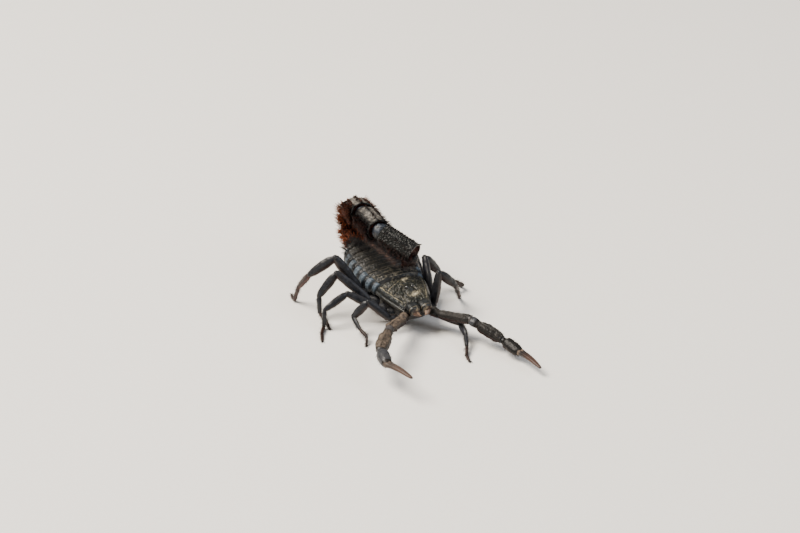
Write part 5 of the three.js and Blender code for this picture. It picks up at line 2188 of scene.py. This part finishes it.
@dataclass
class Bristles:
    """All bristles of the animal."""

    back_count: int = 2600

    def build(self) -> None:
        """Makes and dresses the coats."""
        self.tail()
        self.limbs()
        self.trunk()

    def tail(self) -> None:
        """Dense red-brown bristles on the tail, sparse on the worn facets of its outer side."""
        # number, length and finish of each barrel's bristles, and where along it they start
        sizes = (
            (2800, 2.3, Finish.TAIL_HAIR, 0.04), (4200, 2.8, Finish.TAIL_HAIR, 0.14),
            (4000, 2.5, Finish.MIDDLE_HAIR, 0.14), (3400, 2.1, Finish.LAST_HAIR, 0.14),
            (3000, 1.7, Finish.LAST_HAIR, 0.18),
        )
        for index, (count, length, finish, first) in enumerate(sizes):
            barrel = Barrel(index)

            def weight(at: Array, angle: Array) -> Array:
                """Full length on the flanks and inner side, short and only on keels outside.

                Args:
                    at: shares along the barrel.
                    angle: radians round it.

                Returns:
                    The share of the usual length.
                """
                outside = (-0.45, 0.0) if barrel.is_last else (0.25, 0.6)
                on_keel = bell(off_keel(angle, barrel.keels), 0.12)
                return 1 - smooth(np.sin(angle), *outside) * (1 - 0.55 * on_keel)

            coat = Coat(f"tail_bristles_{index + 1}", 100 + index, thick=0.15, tuft=4)
            patch = (0.05, 0.04 + 0.186 * index, 0.9, 0.17)
            coat.on_limb(barrel.limb(), count, length, patch, 0.35, weight, (first, 0.97))
            dress(coat.build(), finish, "tail_plate")
        coat = Coat("bulb_bristles", 110)
        coat.on_limb(Sting().bulb(), 260, 1.5, (0.05, 0.05, 0.9, 0.9), 0.3)
        dress(coat.build(), Finish.LAST_HAIR, "finger_shell")

    def limbs(self) -> None:
        """Fine dark bristles on legs and arms, longest on the shins and feet.
        """
        for row, name in enumerate(LEG_POSES):
            coat = Coat(f"{name}_bristles", 120 + row, thick=0.07)
            sizes = ((16, 0.5), (90, 0.55), (90, 0.6), (120, 0.85), (110, 0.9), (80, 0.6))
            for column, ((count, length), (limb, *_)) in enumerate(zip(sizes, Leg(name).limbs())):
                coat.on_limb(limb, count, length, (0.04 + 0.155 * column, 0.05, 0.14, 0.9), 0.7)
            piece = coat.build()
            Leg(name).stand(piece)
            dress(piece, Finish.BODY_HAIR, "leg_shell")
        for word, side in SIDES.items():
            coat = Coat(f"{word}_arm_bristles", 140 + side, thick=0.075)
            counts = (40, 140, 160, 170)
            for column, (count, (limb, _)) in enumerate(zip(counts, PincerArm(word).limbs())):
                coat.on_limb(limb, count, 0.75, (0.04 + 0.235 * column, 0.05, 0.22, 0.9))
            dress(coat.build(), Finish.BODY_HAIR, "back_plate")

    def trunk(self) -> None:
        """Short bristles along the rear edges of the back plates and over the rear of the trunk."""
        coat, count = Coat("back_bristles", 150, thick=0.09), self.back_count
        draws = coat.random
        distance = TRUNK_END * draws.random(count) ** 0.55
        plate, _ = plate_at(distance)
        near_rear = draws.random(count) < 0.55
        rear = PLATE_STARTS[plate + 1] - 0.3 * draws.random(count)
        distance = np.where(near_rear, rear, distance)
        angle = 0.4 + (np.pi - 0.8) * draws.random(count)
        # Painted shadow: a band of longer dark bristles just right of the middle stands for the
        # shadow that the tail's bristles cast on the back.
        shadow_band = draws.random(count) < 0.4
        angle = np.where(shadow_band, 1.76 + 0.09 * draws.normal(0, 1, count), angle)
        roots = trunk_point(distance, angle, LIP * smooth(plate_at(distance)[1], -0.1, 0.72))
        outs = spread(np.cos(angle), 0.5 + 0.4 * draws.random(count), np.sin(angle))
        outs = unit(outs + draws.normal(0, 0.15, outs.shape))
        lies = np.broadcast_to(np.array([0.0, 1.0, 0.0]), outs.shape)
        longer = 0.7 + (1.1 + 0.6 * shadow_band) * smooth(distance, 10, 26)
        lengths = longer * (0.6 + 0.7 * draws.random(count))
        places = 0.05 + 0.9 * np.stack([angle / np.pi, distance / TRUNK_END], axis=1)
        coat.add(roots, outs, lies, lengths, places)
        dress(coat.build(), Finish.BODY_HAIR, "back_plate")


# ---- Studio ----


@dataclass(frozen=True)
class Softbox:
    """A soft studio lamp: its place in metres, its power and its colour."""

    name: str
    place: tuple[float, float, float]
    power: float
    colour: str
    aim: tuple[float, float, float] = (0.0, 0.0, 0.01)
    width: float = 0.9

    def build(self) -> None:
        """Adds the lamp."""
        lamp = bpy.data.lights.new(self.name, "AREA")
        lamp.size = self.width
        lamp.energy = self.power
        lamp.color = linear(self.colour)[:3]
        turn = (Vector(self.aim) - Vector(self.place)).to_track_quat("-Z", "Y").to_matrix()
        linked(self.name, lamp).matrix_world = Matrix.Translation(self.place) @ turn.to_4x4()


@dataclass
class Studio:
    """The pale floor, the lamps and the camera."""

    elevation: float = 26.71
    azimuth: float = 27.72
    lens: float = 92.32
    distance: float = 677.4  # from the body's origin along the view, in millimetres
    aside: tuple[float, float] = (5.729, -21.33)  # of the origin in the view, in millimetres

    def build(self) -> None:
        """Makes the studio."""
        pick()
        bpy.ops.mesh.primitive_plane_add(size=6.0)
        floor = bpy.context.active_object
        floor.name = "studio_floor"
        floor.data.materials.append(finish_of(Finish.PAPER))
        Softbox("key_softbox", (-0.75, 0.35, 1.35), 64.0, "#fff6ea").build()
        Softbox("fill_softbox", (0.7, -0.9, 0.9), 9.0, "#eef3ff").build()
        world = bpy.data.worlds.new("studio_air")
        world.use_nodes = True
        back = world.node_tree.nodes["Background"]
        back.inputs["Color"].default_value = linear("#eeece8")
        back.inputs["Strength"].default_value = 0.32
        bpy.context.scene.world = world
        self.camera()

    def camera(self) -> None:
        """Places the camera."""
        a, e = math.radians(self.azimuth), math.radians(self.elevation)
        right = np.array([math.cos(a), -math.sin(a), 0.0])
        up = np.array([math.sin(a) * math.sin(e), math.cos(a) * math.sin(e), math.cos(e)])
        back = np.cross(right, up)
        place = self.distance * back - self.aside[0] * right - self.aside[1] * up
        camera = bpy.data.cameras.new("studio_camera")
        camera.lens = self.lens
        camera.sensor_width = 36.0
        camera.clip_start = 0.05
        camera.clip_end = 20.0
        holder = linked("studio_camera", camera)
        turn = Matrix((right, up, back)).transposed().to_4x4()
        holder.matrix_world = Matrix.Translation((place + SHIFT) * MM) @ turn
        bpy.context.scene.camera = holder


def main() -> None:
    """Builds the whole animal and its studio."""
    logging.basicConfig(level=logging.INFO, format="%(message)s")
    Carapace().build()
    for word in SIDES:
        Jaw(word).build()
    Trunk().build()
    Underside().build()
    for word in SIDES:
        PincerArm(word).build()
    for name in LEG_POSES:
        Leg(name).build()
    for index in range(len(TAIL)):
        Barrel(index).build()
    Sting().build()
    Bristles().build()
    Studio().build()


if __name__ == "__main__":
    main()
